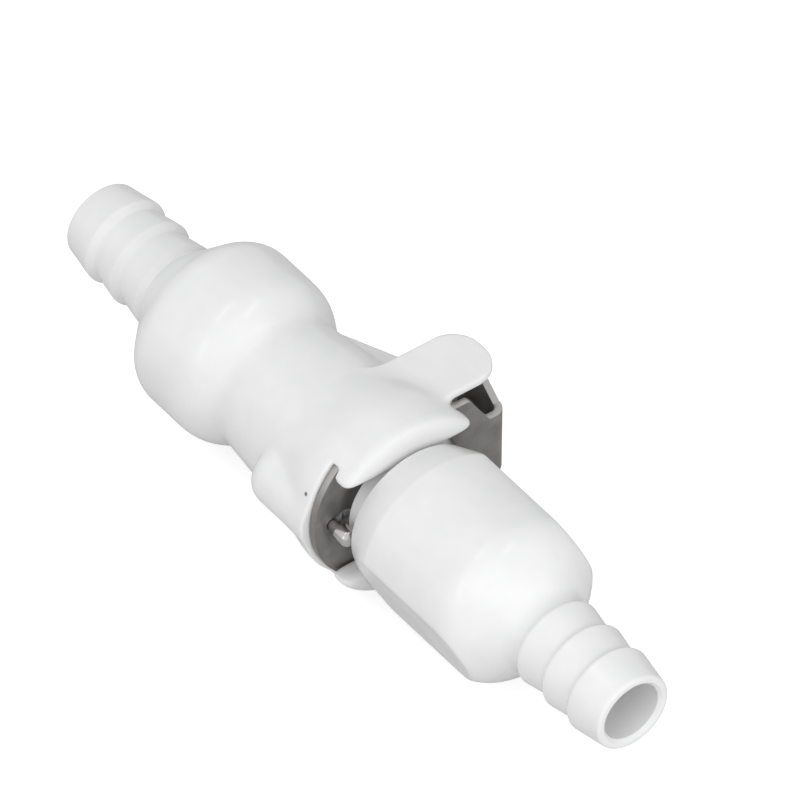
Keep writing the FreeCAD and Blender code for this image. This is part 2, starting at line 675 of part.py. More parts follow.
def body_valve_ring_x():
    """Place of the body valve's O-ring along the flow axis."""
    return BODY_VALVE_HEAD_X + BODY_VALVE_FLANGE + VALVE_RING_SECTION + SEAL_GAP


def make_body_valve():
    """Poppet of the body with its O-ring land, spring stub and ribbed stem."""
    ring_front = body_valve_ring_x() + VALVE_RING_SECTION + SEAL_GAP
    head = turned([
        (BODY_VALVE_HEAD_X - BODY_VALVE_STUB_LENGTH, 0.0, 0.0),
        (BODY_VALVE_HEAD_X - BODY_VALVE_STUB_LENGTH, BODY_VALVE_STUB_RADIUS, VALVE_STUB_ROUND),
        (BODY_VALVE_HEAD_X, BODY_VALVE_STUB_RADIUS, 0.0),
        (BODY_VALVE_HEAD_X, BODY_VALVE_HEAD_RADIUS, 0.0),
        (BODY_VALVE_HEAD_X + BODY_VALVE_FLANGE, BODY_VALVE_HEAD_RADIUS, 0.0),
        (BODY_VALVE_HEAD_X + BODY_VALVE_FLANGE, BODY_VALVE_HUB_RADIUS, 0.0),
        (ring_front, BODY_VALVE_HUB_RADIUS, 0.0),
        (ring_front, BODY_VALVE_LIP_RADIUS, 0.0),
        (ring_front + BODY_VALVE_LIP_LENGTH, BODY_VALVE_LIP_RADIUS, 0.0),
        (ring_front + BODY_VALVE_LIP_LENGTH + BODY_VALVE_CONE_LENGTH, STEM_WING_THICKNESS, 0.0),
        (ring_front + BODY_VALVE_LIP_LENGTH + BODY_VALVE_CONE_LENGTH, 0.0, 0.0),
    ])
    wing_start = ring_front + BODY_VALVE_LIP_LENGTH / 2
    guide = stem_wings(THROAT_RADIUS - SLIDING_GAP, wing_start, SOCKET_FLOOR_X)
    tip = stem_wings(STEM_TIP_RADIUS, SOCKET_FLOOR_X - CUT_OVERRUN, VALVE_CONTACT_X - CONTACT_GAP)
    return head.fuse(guide).fuse(tip).removeSplitter()


def make_body_valve_seal():
    """O-ring round the hub of the body valve."""
    ring_radius = BODY_VALVE_HUB_RADIUS + VALVE_RING_SECTION + SEAL_GAP
    return seal_ring(body_valve_ring_x(), ring_radius, VALVE_RING_SECTION)


def make_body_valve_spring():
    """Spring between the ledge of the barb end and the head of the body valve."""
    length = BODY_VALVE_HEAD_X - LEDGE_X - 2 * CONTACT_GAP
    start = FreeCAD.Vector(LEDGE_X + CONTACT_GAP, 0, 0)
    return coil_spring(
        start, FreeCAD.Vector(1, 0, 0), length, BODY_SPRING_RADIUS, VALVE_SPRING_WIRE, BODY_SPRING_TURNS
    )


def insert_outside():
    """Outside of the insert body, turned, before its flats are cut."""
    dome_drop = INSERT_RADIUS - INSERT_FACE_RADIUS
    dome_radius = (INSERT_DOME_LENGTH ** 2 + dome_drop ** 2) / (2 * dome_drop)
    tangent_x = INSERT_FACE_X + INSERT_DOME_LENGTH
    start_turn = math.asin(INSERT_DOME_LENGTH / dome_radius)
    corner_x = tangent_x - dome_radius * math.tan(start_turn / 2)
    foot_x = OVERALL_LENGTH - LAST_RIDGE - BARB_DROP
    barb = [
        (OVERALL_LENGTH - distance, radius, rounding)
        for distance, radius, rounding in reversed(barb_corners())
    ]
    return turned([
        (INSERT_FACE_X, 0.0, 0.0),
        (INSERT_FACE_X, INSERT_FACE_RADIUS, 0.0),
        (corner_x, INSERT_RADIUS, dome_radius * DOME_SHARE),
        (INSERT_SHOULDER_X, INSERT_RADIUS, INSERT_SHOULDER_ROUND),
        (INSERT_ROOT_X, BARB_ROOT_RADIUS, INSERT_ROOT_ROUND),
        (foot_x, BARB_ROOT_RADIUS, 0.0),
        *barb,
        (OVERALL_LENGTH, 0.0, 0.0),
    ])


def wrench_flats():
    """Two slabs that cut the wrench flats, turned about the flow axis."""
    depth = INSERT_RADIUS
    slabs = None
    for side in (1, -1):
        near = side * FLATS_ACROSS / 2
        far = near + side * depth
        slab = block(
            (INSERT_FACE_X - CUT_OVERRUN, INSERT_ROOT_X),
            (min(near, far), max(near, far)), (-2 * depth, 2 * depth),
        )
        slabs = slab if slabs is None else slabs.fuse(slab)
    slabs.rotate(FreeCAD.Vector(0, 0, 0), FreeCAD.Vector(1, 0, 0), FLATS_TURN)
    return slabs


def make_insert_body():
    """Insert moulding with wrench flats, valve chamber and hose barb."""
    hollow = turned([
        (INSERT_FACE_X - CUT_OVERRUN, 0.0, 0.0),
        (INSERT_FACE_X - CUT_OVERRUN, NOSE_PLUG_RADIUS + FIT, 0.0),
        (INSERT_FACE_X + NOSE_PLUG_LENGTH + FIT, NOSE_PLUG_RADIUS + FIT, 0.0),
        (INSERT_FACE_X + NOSE_PLUG_LENGTH + FIT, INSERT_CHAMBER_RADIUS, 0.0),
        (INSERT_LEDGE_X, INSERT_CHAMBER_RADIUS, 0.0),
        (INSERT_LEDGE_X, BARB_BORE_RADIUS, 0.0),
        (OVERALL_LENGTH - BARB_MOUTH_CHAMFER, BARB_BORE_RADIUS, 0.0),
        (OVERALL_LENGTH, BARB_BORE_RADIUS + BARB_MOUTH_CHAMFER, 0.0),
        (OVERALL_LENGTH + CUT_OVERRUN, BARB_BORE_RADIUS + BARB_MOUTH_CHAMFER, 0.0),
        (OVERALL_LENGTH + CUT_OVERRUN, 0.0, 0.0),
    ])
    return insert_outside().cut(wrench_flats()).cut(hollow)


def gland_root_radius():
    """Radius of the floor of the two O-ring grooves."""
    return SOCKET_RADIUS - 2 * SEAL_GAP - 2 * RING_SECTION


def gland_corners(start_x):
    """Corners of one O-ring groove in the nose."""
    root = gland_root_radius()
    return [
        (start_x, NOSE_RADIUS, 0.0),
        (start_x, root, 0.0),
        (start_x + GLAND_WIDTH, root, 0.0),
        (start_x + GLAND_WIDTH, NOSE_RADIUS, 0.0),
    ]


def make_insert_nose():
    """Nose of the insert: two O-ring grooves, latch groove, collar and plug."""
    plug_end = INSERT_FACE_X + NOSE_PLUG_LENGTH
    seat_end = INSERT_SEAT_X + INSERT_SEAT_RADIUS - NOSE_BORE_RADIUS
    return turned([
        (NOSE_TIP_X, NOSE_BORE_RADIUS, 0.0),
        (NOSE_TIP_X, NOSE_RADIUS, NOSE_FRONT_ROUND),
        *gland_corners(FRONT_GLAND_X),
        *gland_corners(REAR_GLAND_X),
        (GROOVE_X, NOSE_RADIUS, 0.0),
        (GROOVE_X, GROOVE_RADIUS, 0.0),
        (GROOVE_X + SHEET + GROOVE_PLAY, GROOVE_RADIUS, 0.0),
        (GROOVE_X + SHEET + GROOVE_PLAY, NOSE_COLLAR_RADIUS, 0.0),
        (INSERT_FACE_X, NOSE_COLLAR_RADIUS, 0.0),
        (INSERT_FACE_X, NOSE_PLUG_RADIUS, 0.0),
        (plug_end, NOSE_PLUG_RADIUS, 0.0),
        (plug_end, INSERT_SEAT_RADIUS, 0.0),
        (seat_end, INSERT_SEAT_RADIUS, 0.0),
        (INSERT_SEAT_X, NOSE_BORE_RADIUS, 0.0),
    ])


def make_nose_ring(gland_x):
    """O-ring in the middle of the groove that starts at gland_x."""
    ring_radius = SOCKET_RADIUS - SEAL_GAP - RING_SECTION
    return seal_ring(gland_x + GLAND_WIDTH / 2, ring_radius, RING_SECTION)


def insert_valve_ring_x():
    """Place of the insert valve's O-ring along the flow axis."""
    return INSERT_VALVE_HEAD_X - VALVE_RING_SECTION - SEAL_GAP


def make_insert_valve():
    """Hollow plunger with side windows, a closed head and a spring stub."""
    head_end = INSERT_VALVE_HEAD_X + INSERT_VALVE_HEAD_LENGTH
    floor_x = INSERT_VALVE_HEAD_X
    plunger = turned([
        (VALVE_CONTACT_X, PLUNGER_BORE_RADIUS, 0.0),
        (VALVE_CONTACT_X, PLUNGER_RADIUS, PLUNGER_TIP_ROUND),
        (INSERT_VALVE_HEAD_X, PLUNGER_RADIUS, 0.0),
        (INSERT_VALVE_HEAD_X, INSERT_VALVE_HEAD_RADIUS, 0.0),
        (head_end, INSERT_VALVE_HEAD_RADIUS, INSERT_VALVE_HEAD_ROUND),
        (head_end, INSERT_VALVE_STUB_RADIUS, 0.0),
        (head_end + INSERT_VALVE_STUB_LENGTH, INSERT_VALVE_STUB_RADIUS, VALVE_STUB_ROUND),
        (head_end + INSERT_VALVE_STUB_LENGTH, 0.0, 0.0),
        (floor_x, 0.0, 0.0),
        (floor_x, PLUNGER_BORE_RADIUS, 0.0),
    ])
    window_end = insert_valve_ring_x() - VALVE_RING_SECTION - SEAL_GAP
    half = WINDOW_WIDTH / 2
    for turn in range(WINDOWS):
        window = block(
            (window_end - WINDOW_LENGTH, window_end), (0.0, 2 * PLUNGER_RADIUS), (-half, half)
        )
        window.rotate(FreeCAD.Vector(0, 0, 0), FreeCAD.Vector(1, 0, 0), turn * 360 / WINDOWS)
        plunger = plunger.cut(window)
    return plunger


def make_insert_valve_seal():
    """O-ring in front of the head of the insert valve."""
    ring_radius = PLUNGER_RADIUS + VALVE_RING_SECTION + SEAL_GAP
    return seal_ring(insert_valve_ring_x(), ring_radius, VALVE_RING_SECTION)


def make_insert_valve_spring():
    """Spring between the head of the insert valve and the ledge of the insert body."""
    start_x = INSERT_VALVE_HEAD_X + INSERT_VALVE_HEAD_LENGTH + CONTACT_GAP
    length = INSERT_LEDGE_X - CONTACT_GAP - start_x
    start = FreeCAD.Vector(start_x, 0, 0)
    return coil_spring(
        start, FreeCAD.Vector(1, 0, 0), length, INSERT_SPRING_RADIUS, VALVE_SPRING_WIRE, INSERT_SPRING_TURNS
    )


def main():
    """Build every piece and write one file for each."""
    pieces = {
        "coupling_body": make_coupling_body(),
        "body_barb": make_body_barb(),
        "body_valve": make_body_valve(),
        "body_valve_seal": make_body_valve_seal(),
        "body_valve_spring": make_body_valve_spring(),
        "latch": make_latch(),
        "latch_spring": make_latch_spring(),
        "lock_pin": make_lock_pin(),
        "lock_pin_spring": make_lock_pin_spring(),
        "insert_body": make_insert_body(),
        "insert_nose": make_insert_nose(),
        "front_o_ring": make_nose_ring(FRONT_GLAND_X),
        "rear_o_ring": make_nose_ring(REAR_GLAND_X),
        "insert_valve": make_insert_valve(),
        "insert_valve_seal": make_insert_valve_seal(),
        "insert_valve_spring": make_insert_valve_spring(),
    }
    os.makedirs("parts", exist_ok=True)
    for name, shape in pieces.items():
        print(name, "valid", shape.isValid(), "solids", len(shape.Solids), "volume", round(shape.Volume, 2))
        shape.exportStep(f"parts/{name}.step")


main()
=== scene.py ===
"""Studio scene of a coupled quick disconnect hose coupling.

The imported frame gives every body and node. The moulded, turned, bent and coiled pieces are made
here with their rounded edges and finishes, and the inner pieces of the frame are dressed in place.
Sizes are millimetres in the frame's own axes unless a name ends in _m; meshes are stored in metres.
"""
import logging
import math
from dataclasses import dataclass, fields
from enum import Enum
from typing import Callable, Iterable, Sequence

import bmesh
import bpy
from mathutils import Matrix, Vector


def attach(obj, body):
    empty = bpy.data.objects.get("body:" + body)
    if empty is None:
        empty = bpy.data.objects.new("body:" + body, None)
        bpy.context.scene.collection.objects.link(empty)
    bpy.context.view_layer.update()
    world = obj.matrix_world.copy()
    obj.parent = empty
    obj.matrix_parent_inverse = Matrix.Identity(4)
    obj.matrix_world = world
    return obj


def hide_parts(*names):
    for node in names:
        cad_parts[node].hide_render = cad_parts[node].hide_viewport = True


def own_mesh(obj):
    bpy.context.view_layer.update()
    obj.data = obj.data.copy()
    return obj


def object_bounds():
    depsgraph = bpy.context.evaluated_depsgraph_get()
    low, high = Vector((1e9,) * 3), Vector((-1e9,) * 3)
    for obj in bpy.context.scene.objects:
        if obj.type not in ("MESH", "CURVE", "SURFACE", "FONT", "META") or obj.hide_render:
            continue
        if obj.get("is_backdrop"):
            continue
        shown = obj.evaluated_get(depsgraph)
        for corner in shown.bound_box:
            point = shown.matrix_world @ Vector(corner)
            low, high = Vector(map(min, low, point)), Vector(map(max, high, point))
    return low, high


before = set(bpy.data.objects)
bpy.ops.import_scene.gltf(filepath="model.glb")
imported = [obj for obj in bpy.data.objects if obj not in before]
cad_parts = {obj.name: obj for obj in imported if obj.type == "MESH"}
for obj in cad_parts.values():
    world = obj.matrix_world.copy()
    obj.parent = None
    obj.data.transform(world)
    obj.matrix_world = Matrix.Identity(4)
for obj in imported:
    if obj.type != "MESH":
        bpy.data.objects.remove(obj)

MM = 0.001
Pair = tuple[float, float]
Triple = tuple[float, float, float]
Socket = bpy.types.NodeSocket
Material = bpy.types.Material
Piece = bpy.types.Object
WHITE = (1.0, 1.0, 1.0, 1.0)
SPECK_COLOUR = (0.12, 0.12, 0.13)
SPECK_PLACE_M = (0.0514, -0.01064, 0.00422)
SPECK_RADIUS_M = 0.00022
SAME_PLACE_M = 1e-7
ON_PLANE_M = 1e-8
ON_AXIS = 1e-6

logging.basicConfig(level=logging.INFO, format="%(message)s")
log = logging.getLogger("coupling")


class BodyName(Enum):
    """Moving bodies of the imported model."""

    SOCKET = "body"
    LATCH = "latch"
    LOCK_PIN = "lock_pin"
    INSERT = "insert"
    SOCKET_VALVE = "body_valve"
    INSERT_VALVE = "insert_valve"


class Slot(Enum):
    """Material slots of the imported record."""

    ACETAL = "white_acetal"
    SHEET = "stainless_sheet"
    TURNED = "turned_steel"
    WIRE = "spring_wire"


class Joint(Enum):
    """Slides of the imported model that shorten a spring."""

    LATCH = "latch_press"
    LOCK_PIN = "lock_pin_push"
    SOCKET_VALVE = "body_valve_float"
    INSERT_VALVE = "insert_valve_float"


class Axis(Enum):
    """Directions that a spring can stand along."""

    FLOW = (1.0, 0.0, 0.0)
    THUMB = (0.0, 1.0, 0.0)


# Node helpers


class Sheet:
    """A node tree with short calls to add and join nodes."""

    def __init__(self, tree: bpy.types.NodeTree) -> None:
        """Keep the tree that the calls work on.

        Args:
            tree: Shader or geometry tree to fill.
        """
        self.tree = tree

    def add(self, kind: str, **settings: object) -> bpy.types.Node:
        """Add a node.

        Args:
            kind: Blender's identifier of the node type.
            **settings: Values for the node's own attributes.

        Returns:
            The new node.
        """
        node = self.tree.nodes.new(kind)
        for name, value in settings.items():
            setattr(node, name, value)
        return node

    def join(self, source: Socket, target: Socket) -> None:
        """Link one socket to another."""
        self.tree.links.new(source, target)

    def seen_directly(self, otherwise: float, seen: float, *also: str) -> Socket:
        """Number that is one value for the camera's rays and another for the rest.

        Args:
            otherwise: Value for every other ray.
            seen: Value for the camera's rays.
            *also: More kinds of ray that get the camera's value.

        Returns:
            The number.
        """
        path = self.add("ShaderNodeLightPath")
        rays = Field(self, path.outputs["Is Camera Ray"])
        for name in also:
            rays = rays.math("MAXIMUM", Field(self, path.outputs[name]))
        return (rays * (seen - otherwise) + otherwise).socket


class Field:
    """A number that a tree works out at every point, with plain arithmetic."""

    def __init__(self, sheet: Sheet, socket: Socket) -> None:
        """Wrap a socket.

        Args:
            sheet: Tree that holds the socket.
            socket: Output that carries the number.
        """
        self.sheet = sheet
        self.socket = socket

    def math(self, operation: str, *others: "Field | float") -> "Field":
        """Put this number and others through a Math node.

        Args:
            operation: Name of the node's operation.
            *others: Its other inputs, fields or plain numbers.

        Returns:
            The node's result.
        """
        node = self.sheet.add("ShaderNodeMath", operation=operation)
        for index, value in enumerate((self, *others)):
            if isinstance(value, Field):
                self.sheet.join(value.socket, node.inputs[index])
            else:
                node.inputs[index].default_value = value
        return Field(self.sheet, node.outputs[0])

    def __add__(self, other: "Field | float") -> "Field":
        """Sum."""
        return self.math("ADD", other)

    def __sub__(self, other: "Field | float") -> "Field":
        """Difference."""
        return self.math("SUBTRACT", other)

    def __mul__(self, other: "Field | float") -> "Field":
        """Product."""
        return self.math("MULTIPLY", other)

    def __neg__(self) -> "Field":
        """Negative."""
        return self.math("MULTIPLY", -1.0)

    def size(self) -> "Field":
        """Absolute value."""
        return self.math("ABSOLUTE")

    def lower(self, other: "Field | float", blend: "Field | float" = 0.0) -> "Field":
        """Smaller of two numbers, rounded over blend: the union of two distances."""
        return self.math("SMOOTH_MIN", other, blend)

    def higher(self, other: "Field | float", blend: "Field | float" = 0.0) -> "Field":
        """Larger of two numbers, rounded over blend: what two distances have in common."""
        return self.math("SMOOTH_MAX", other, blend)

    def without(self, other: "Field", blend: "Field | float" = 0.0) -> "Field":
        """Distance to this solid with another one cut away."""
        return self.higher(-other, blend)

    def across(self, other: "Field") -> "Field":
        """Length of the vector whose two parts are this number and another."""
        return ((self * self) + (other * other)).math("SQRT")

    def meeting(self, other: "Field", radius: "Field") -> "Field":
        """Distance to the rounded corner of two sides, both given from the corner's centre."""
        outside = self.higher(0.0).across(other.higher(0.0))
        return outside + self.higher(other).lower(0.0) - radius


def add_object(name: str, data: bpy.types.ID) -> Piece:
    """New object of the scene for a mesh, a lamp or a camera."""
    item = bpy.data.objects.new(name, data)
    bpy.context.scene.collection.objects.link(item)
    return item


class SizedTree:
    """Geometry Nodes tree with one named input for each field of a dataclass of sizes."""

    def __init__(self, name: str, sizes: object) -> None:
        """Make the tree and its inputs.

        Args:
            name: Name of the tree.
            sizes: Dataclass instance whose float and int fields become inputs.
        """
        self.tree = bpy.data.node_groups.new(name, "GeometryNodeTree")
        self.sizes = sizes
        self.identifiers: dict[str, str] = {}
        interface = self.tree.interface
        interface.new_socket("Geometry", in_out="OUTPUT", socket_type="NodeSocketGeometry")
        for entry in fields(sizes):
            value = getattr(sizes, entry.name)
            kind = "NodeSocketInt" if isinstance(value, int) else "NodeSocketFloat"
            socket = interface.new_socket(entry.name, in_out="INPUT", socket_type=kind)
            self.identifiers[entry.name] = socket.identifier
        self.sheet = Sheet(self.tree)
        self.inputs = self.sheet.add("NodeGroupInput")
        self.result = self.sheet.add("NodeGroupOutput")

    def size(self, name: str) -> Field:
        """Input of the tree as a number to work with.

        Args:
            name: Name of the dataclass field.

        Returns:
            The input.
        """
        return Field(self.sheet, self.inputs.outputs[name])

    def close(self, geometry: Socket, material: Material) -> None:
        """End the tree with the step to metres, Realize Instances and Set Material.

        Args:
            geometry: Socket that carries the finished geometry, in millimetres.
            material: Finish of the piece.
        """
        scale = self.sheet.add("GeometryNodeTransform")
        scale.inputs["Scale"].default_value = (MM, MM, MM)
        self.sheet.join(geometry, scale.inputs["Geometry"])
        real = self.sheet.add("GeometryNodeRealizeInstances")
        dress = self.sheet.add("GeometryNodeSetMaterial")
        dress.inputs["Material"].default_value = material
        self.sheet.join(scale.outputs[0], real.inputs[0])
        self.sheet.join(real.outputs[0], dress.inputs["Geometry"])
        self.sheet.join(dress.outputs[0], self.result.inputs[0])

    def make(self, name: str) -> Piece:
        """Evaluate the tree once and keep the result as a plain mesh.

        Args:
            name: Name of the piece.

        Returns:
            The piece, with no modifier left on it.
        """
        holder = add_object(name, bpy.data.meshes.new(name + "_seed"))
        modifier = holder.modifiers.new("Form", "NODES")
        modifier.node_group = self.tree
        for field_name, identifier in self.identifiers.items():
            modifier[identifier] = getattr(self.sizes, field_name)
        graph = bpy.context.evaluated_depsgraph_get()
        mesh = bpy.data.meshes.new_from_object(holder.evaluated_get(graph), depsgraph=graph)
        holder.modifiers.remove(modifier)
        holder.data = mesh
        mesh.name = name
        return holder


# Finishes


class ShaderSheet(Sheet):
    """Shader tree of a new material, with calls for the textures and colours used here."""

    def __init__(self, name: str) -> None:
        """Make the material with only its output and its main shader.

        Args:
            name: Name of the material.
        """
        self.material = bpy.data.materials.new(name)
        self.material.use_nodes = True
        super().__init__(self.material.node_tree)
        self.shader = self.tree.nodes["Principled BSDF"]

    def put(self, **values: float) -> None:
        """Set sockets of the main shader, named with _ for each space."""
        for name, value in values.items():
            self.shader.inputs[name.replace("_", " ")].default_value = value

    def noise(self, place: Socket, scale: float, detail: float) -> Socket:
        """Soft noise between 0 and 1 over the object.

        Args:
            place: Coordinates that the noise is read at.
            scale: Cells per metre.
            detail: Octaves.

        Returns:
            The noise value.
        """
        node = self.add("ShaderNodeTexNoise")
        node.inputs["Scale"].default_value = scale
        node.inputs["Detail"].default_value = detail
        self.join(place, node.inputs["Vector"])
        return node.outputs[0]

    def spread(self, value: Socket, span: Pair, onto: Pair) -> Socket:
        """Stretch one span of a value over another.

        Args:
            value: Value to stretch.
            span: Ends of the span that it is read on.
            onto: Results at those ends.

        Returns:
            The stretched value.
        """
        node = self.add("ShaderNodeMapRange")
        names = ("From Min", "From Max", "To Min", "To Max")
        for name, number in zip(names, (*span, *onto)):
            node.inputs[name].default_value = number
        self.join(value, node.inputs["Value"])
        return node.outputs[0]

    def mix_colours(self, value: Socket, first: Triple, second: Triple, stops: Pair) -> Socket:
        """Colour that runs from one to another as a value passes between two stops.

        Args:
            value: Value that drives the colour.
            first: Colour below the first stop.
            second: Colour above the second stop.
            stops: The two stops.

        Returns:
            The colour.
        """
        ramp = self.add("ShaderNodeValToRGB")
        ends = zip(ramp.color_ramp.elements, stops, (first, second))
        for element, position, colour in ends:
            element.position = position
            element.color = (*colour, 1.0)
        self.join(value, ramp.inputs[0])
        return ramp.outputs[0]

    def lay_over(self, tone: Socket, over: Triple, share: Socket) -> Socket:
        """Colour with another laid over it.

        Args:
            tone: Colour below.
            over: Colour on top.
            share: How much of the top one shows.

        Returns:
            The mixed colour.
        """
        mix = self.add("ShaderNodeMix", data_type="RGBA")
        base, other = (socket for socket in mix.inputs if socket.type == "RGBA")
        other.default_value = (*over, 1.0)
        self.join(tone, base)
        self.join(share, mix.inputs["Factor"])
        return next(socket for socket in mix.outputs if socket.type == "RGBA")


@dataclass(frozen=True)
class Finish:
    """What every finish has: an uneven roughness and a fine relief."""

    roughness: float
    roughness_spread: float
    bump: float
    bump_height_m: float

    def paint(self, sheet: ShaderSheet) -> tuple[Socket, Socket, Socket]:
        """Add the nodes of the finish's own colour and grain.

        Args:
            sheet: Tree of the material.

        Returns:
            The colour, what the roughness follows (0 to 1) and what the relief follows.
        """
        raise NotImplementedError

    def build(self, name: str) -> Material:
        """Make the material.

        Args:
            name: Name of the material.

        Returns:
            The material.
        """
        sheet = ShaderSheet(name)
        tone, gloss, height = self.paint(sheet)
        shader = sheet.shader
        sheet.join(tone, shader.inputs["Base Color"])
        ends = (self.roughness, self.roughness + self.roughness_spread)
        sheet.join(sheet.spread(gloss, (0.0, 1.0), ends), shader.inputs["Roughness"])
        bump = sheet.add("ShaderNodeBump")
        bump.inputs["Strength"].default_value = self.bump
        bump.inputs["Distance"].default_value = self.bump_height_m
        sheet.join(height, bump.inputs["Height"])
        sheet.join(bump.outputs[0], shader.inputs["Normal"])
        return sheet.material


@dataclass(frozen=True)
class Acetal(Finish):
    """White moulded acetal: satin, with flow marks, fine scuffs and perhaps one speck."""

    roughness: float = 0.15
    roughness_spread: float = 0.08
    bump: float = 0.06
    bump_height_m: float = 0.00004
    colour: Triple = (0.87, 0.87, 0.87)
    shade: Triple = (0.84, 0.841, 0.847)
    shade_stops: Pair = (0.35, 0.65)
    sheen: float = 0.4
    ior: float = 1.48
    ripple_per_m: float = 260.0
    ripple_detail: float = 3.0
    grain_per_m: float = 5200.0
    grain_detail: float = 2.0
    grain_share: float = 0.25
    speck_m: Triple | None = None
    speck_edge: Pair = (0.6, 1.5)

    def paint(self, sheet: ShaderSheet) -> tuple[Socket, Socket, Socket]:
        """Flow marks and scuffs, with a small dark inclusion where the piece has one."""
        place = sheet.add("ShaderNodeTexCoord").outputs["Object"]
        ripple = sheet.noise(place, self.ripple_per_m, self.ripple_detail)
        grain = sheet.noise(place, self.grain_per_m, self.grain_detail)
        tone = sheet.mix_colours(ripple, self.shade, self.colour, self.shade_stops)
        if self.speck_m is not None:
            gap = sheet.add("ShaderNodeVectorMath", operation="DISTANCE")
            gap.inputs[1].default_value = self.speck_m
            sheet.join(place, gap.inputs[0])
            edge = tuple(SPECK_RADIUS_M * share for share in self.speck_edge)
            ink = sheet.spread(gap.outputs["Value"], edge, (1.0, 0.0))
            tone = sheet.lay_over(tone, SPECK_COLOUR, ink)
        height = Field(sheet, ripple) + Field(sheet, grain) * self.grain_share
        sheet.put(IOR=self.ior, Specular_IOR_Level=self.sheen)
        return tone, ripple, height.socket


@dataclass(frozen=True)
class Steel(Finish):
    """Stainless steel with a drawn grain, darker tarnish in patches and perhaps a painted highlight
    on its cut edges.
    """

    roughness: float = 0.27
    roughness_spread: float = 0.14
    bump: float = 0.12
    bump_height_m: float = 0.00001
    colour: Triple = (0.56, 0.55, 0.54)
    tarnish: Triple = (0.4, 0.385, 0.37)
    tarnish_stops: Pair = (0.3, 0.6)
    grain_per_m: Triple = (900.0, 9000.0, 900.0)
    grain_detail: float = 2.0
    patch_per_m: float = 340.0
    patch_detail: float = 4.0
    anisotropy: float = 0.4
    metallic: float = 1.0
    cut_edge_highlight: Triple | None = None
    highlight_facing: Pair = (0.2, 0.6)

    def paint(self, sheet: ShaderSheet) -> tuple[Socket, Socket, Socket]:
        """Grain and tarnish; where given, a painted highlight brightens the cut edges, the faces
        turned up and down.
        """
        source = sheet.add("ShaderNodeTexCoord").outputs
        stretch = sheet.add("ShaderNodeMapping")
        stretch.inputs["Scale"].default_value = self.grain_per_m
        sheet.join(source["Object"], stretch.inputs["Vector"])
        grain = sheet.noise(stretch.outputs[0], 1.0, self.grain_detail)
        patches = sheet.noise(source["Object"], self.patch_per_m, self.patch_detail)
        tone = sheet.mix_colours(patches, self.tarnish, self.colour, self.tarnish_stops)
        # Painted highlight: a brighter colour laid over the faces turned up and down, the sheet's
        # cut edges.
        if self.cut_edge_highlight is not None:
            facing = sheet.add("ShaderNodeSeparateXYZ")
            sheet.join(source["Normal"], facing.inputs[0])
            upright = Field(sheet, facing.outputs["Z"]).size().socket
            share = sheet.spread(upright, self.highlight_facing, (0.0, 1.0))
            tone = sheet.lay_over(tone, self.cut_edge_highlight, share)
        sheet.put(Metallic=self.metallic, Anisotropic=self.anisotropy)
        return tone, grain, grain


@dataclass(frozen=True)
class Nitrile(Finish):
    """Black moulded rubber with a dull, faintly mottled skin."""

    roughness: float = 0.42
    roughness_spread: float = 0.15
    bump: float = 0.1
    bump_height_m: float = 0.00002
    colour: Triple = (0.012, 0.012, 0.013)
    worn: Triple = (0.03, 0.03, 0.032)
    worn_stops: Pair = (0.4, 0.7)
    mottle_per_m: float = 1400.0
    mottle_detail: float = 3.0

    def paint(self, sheet: ShaderSheet) -> tuple[Socket, Socket, Socket]:
        """Mottle that colour, roughness and relief all follow."""
        place = sheet.add("ShaderNodeTexCoord").outputs["Object"]
        mottle = sheet.noise(place, self.mottle_per_m, self.mottle_detail)
        tone = sheet.mix_colours(mottle, self.colour, self.worn, self.worn_stops)
        return tone, mottle, mottle


@dataclass
class Finishes:
    """Every material of the coupling."""

    acetal: Material
    marked_acetal: Material
    sheet: Material
    turned: Material
    wire: Material
    nitrile: Material

    @classmethod
    def make(cls) -> "Finishes":
        """Build all the materials once."""
        return cls(
            acetal=Acetal().build("white_acetal"),
            marked_acetal=Acetal(speck_m=SPECK_PLACE_M).build("white_acetal_marked"),
            # The latch sheet's cut edges carry a painted highlight.
            sheet=Steel(
                colour=(0.305, 0.297, 0.29), tarnish=(0.225, 0.215, 0.208),
                roughness=0.34, metallic=0.7, cut_edge_highlight=(0.43, 0.42, 0.41),
            ).build("stainless_sheet"),
            turned=Steel(colour=(0.6, 0.59, 0.58), roughness=0.13).build("turned_steel"),
            wire=Steel(colour=(0.5, 0.5, 0.5), roughness=0.24).build("spring_wire"),
            nitrile=Nitrile().build("black_nitrile"),
        )


# Mesh helpers


def rounded_outline(corners: Sequence[Triple], steps: int = 8) -> list[Pair]:
    """Points of a closed outline with its corners rounded.

    Args:
        corners: Corners as (a, b, rounding radius).
        steps: Points on each rounded corner, less one.

    Returns:
        The outline's points in order.
    """
    points: list[Pair] = []
    count = len(corners)
    for index, (a, b, radius) in enumerate(corners):
        here = Vector((a, b))
        if radius <= 0.0:
            points.append((a, b))
            continue
        back = (Vector(corners[index - 1][:2]) - here).normalized()
        ahead = (Vector(corners[(index + 1) % count][:2]) - here).normalized()
        half = back.angle(ahead) / 2
        middle = here + (back + ahead).normalized() * (radius / math.sin(half))
        start = here + back * (radius / math.tan(half)) - middle
        end = here + ahead * (radius / math.tan(half)) - middle
        sweep = start.angle_signed(end)
        for step in range(steps + 1):
            turn = -sweep * step / steps
            spoke = Matrix.Rotation(turn, 2) @ start
            points.append(tuple(middle + spoke))
    return points


def with_short_runs(points: Sequence[Pair], longest: float) -> list[Pair]:
    """Same closed outline with extra points, so that no run is longer than a limit.

    Args:
        points: Points of the outline.
        longest: Longest run allowed.

    Returns:
        The denser outline.
    """
    dense: list[Pair] = []
    for index, point in enumerate(points):
        after = points[(index + 1) % len(points)]
        run = math.dist(point, after)
        pieces = max(1, math.ceil(run / longest))
        for piece in range(pieces):
            share = piece / pieces
            dense.append(tuple(p + (q - p) * share for p, q in zip(point, after)))
    return dense


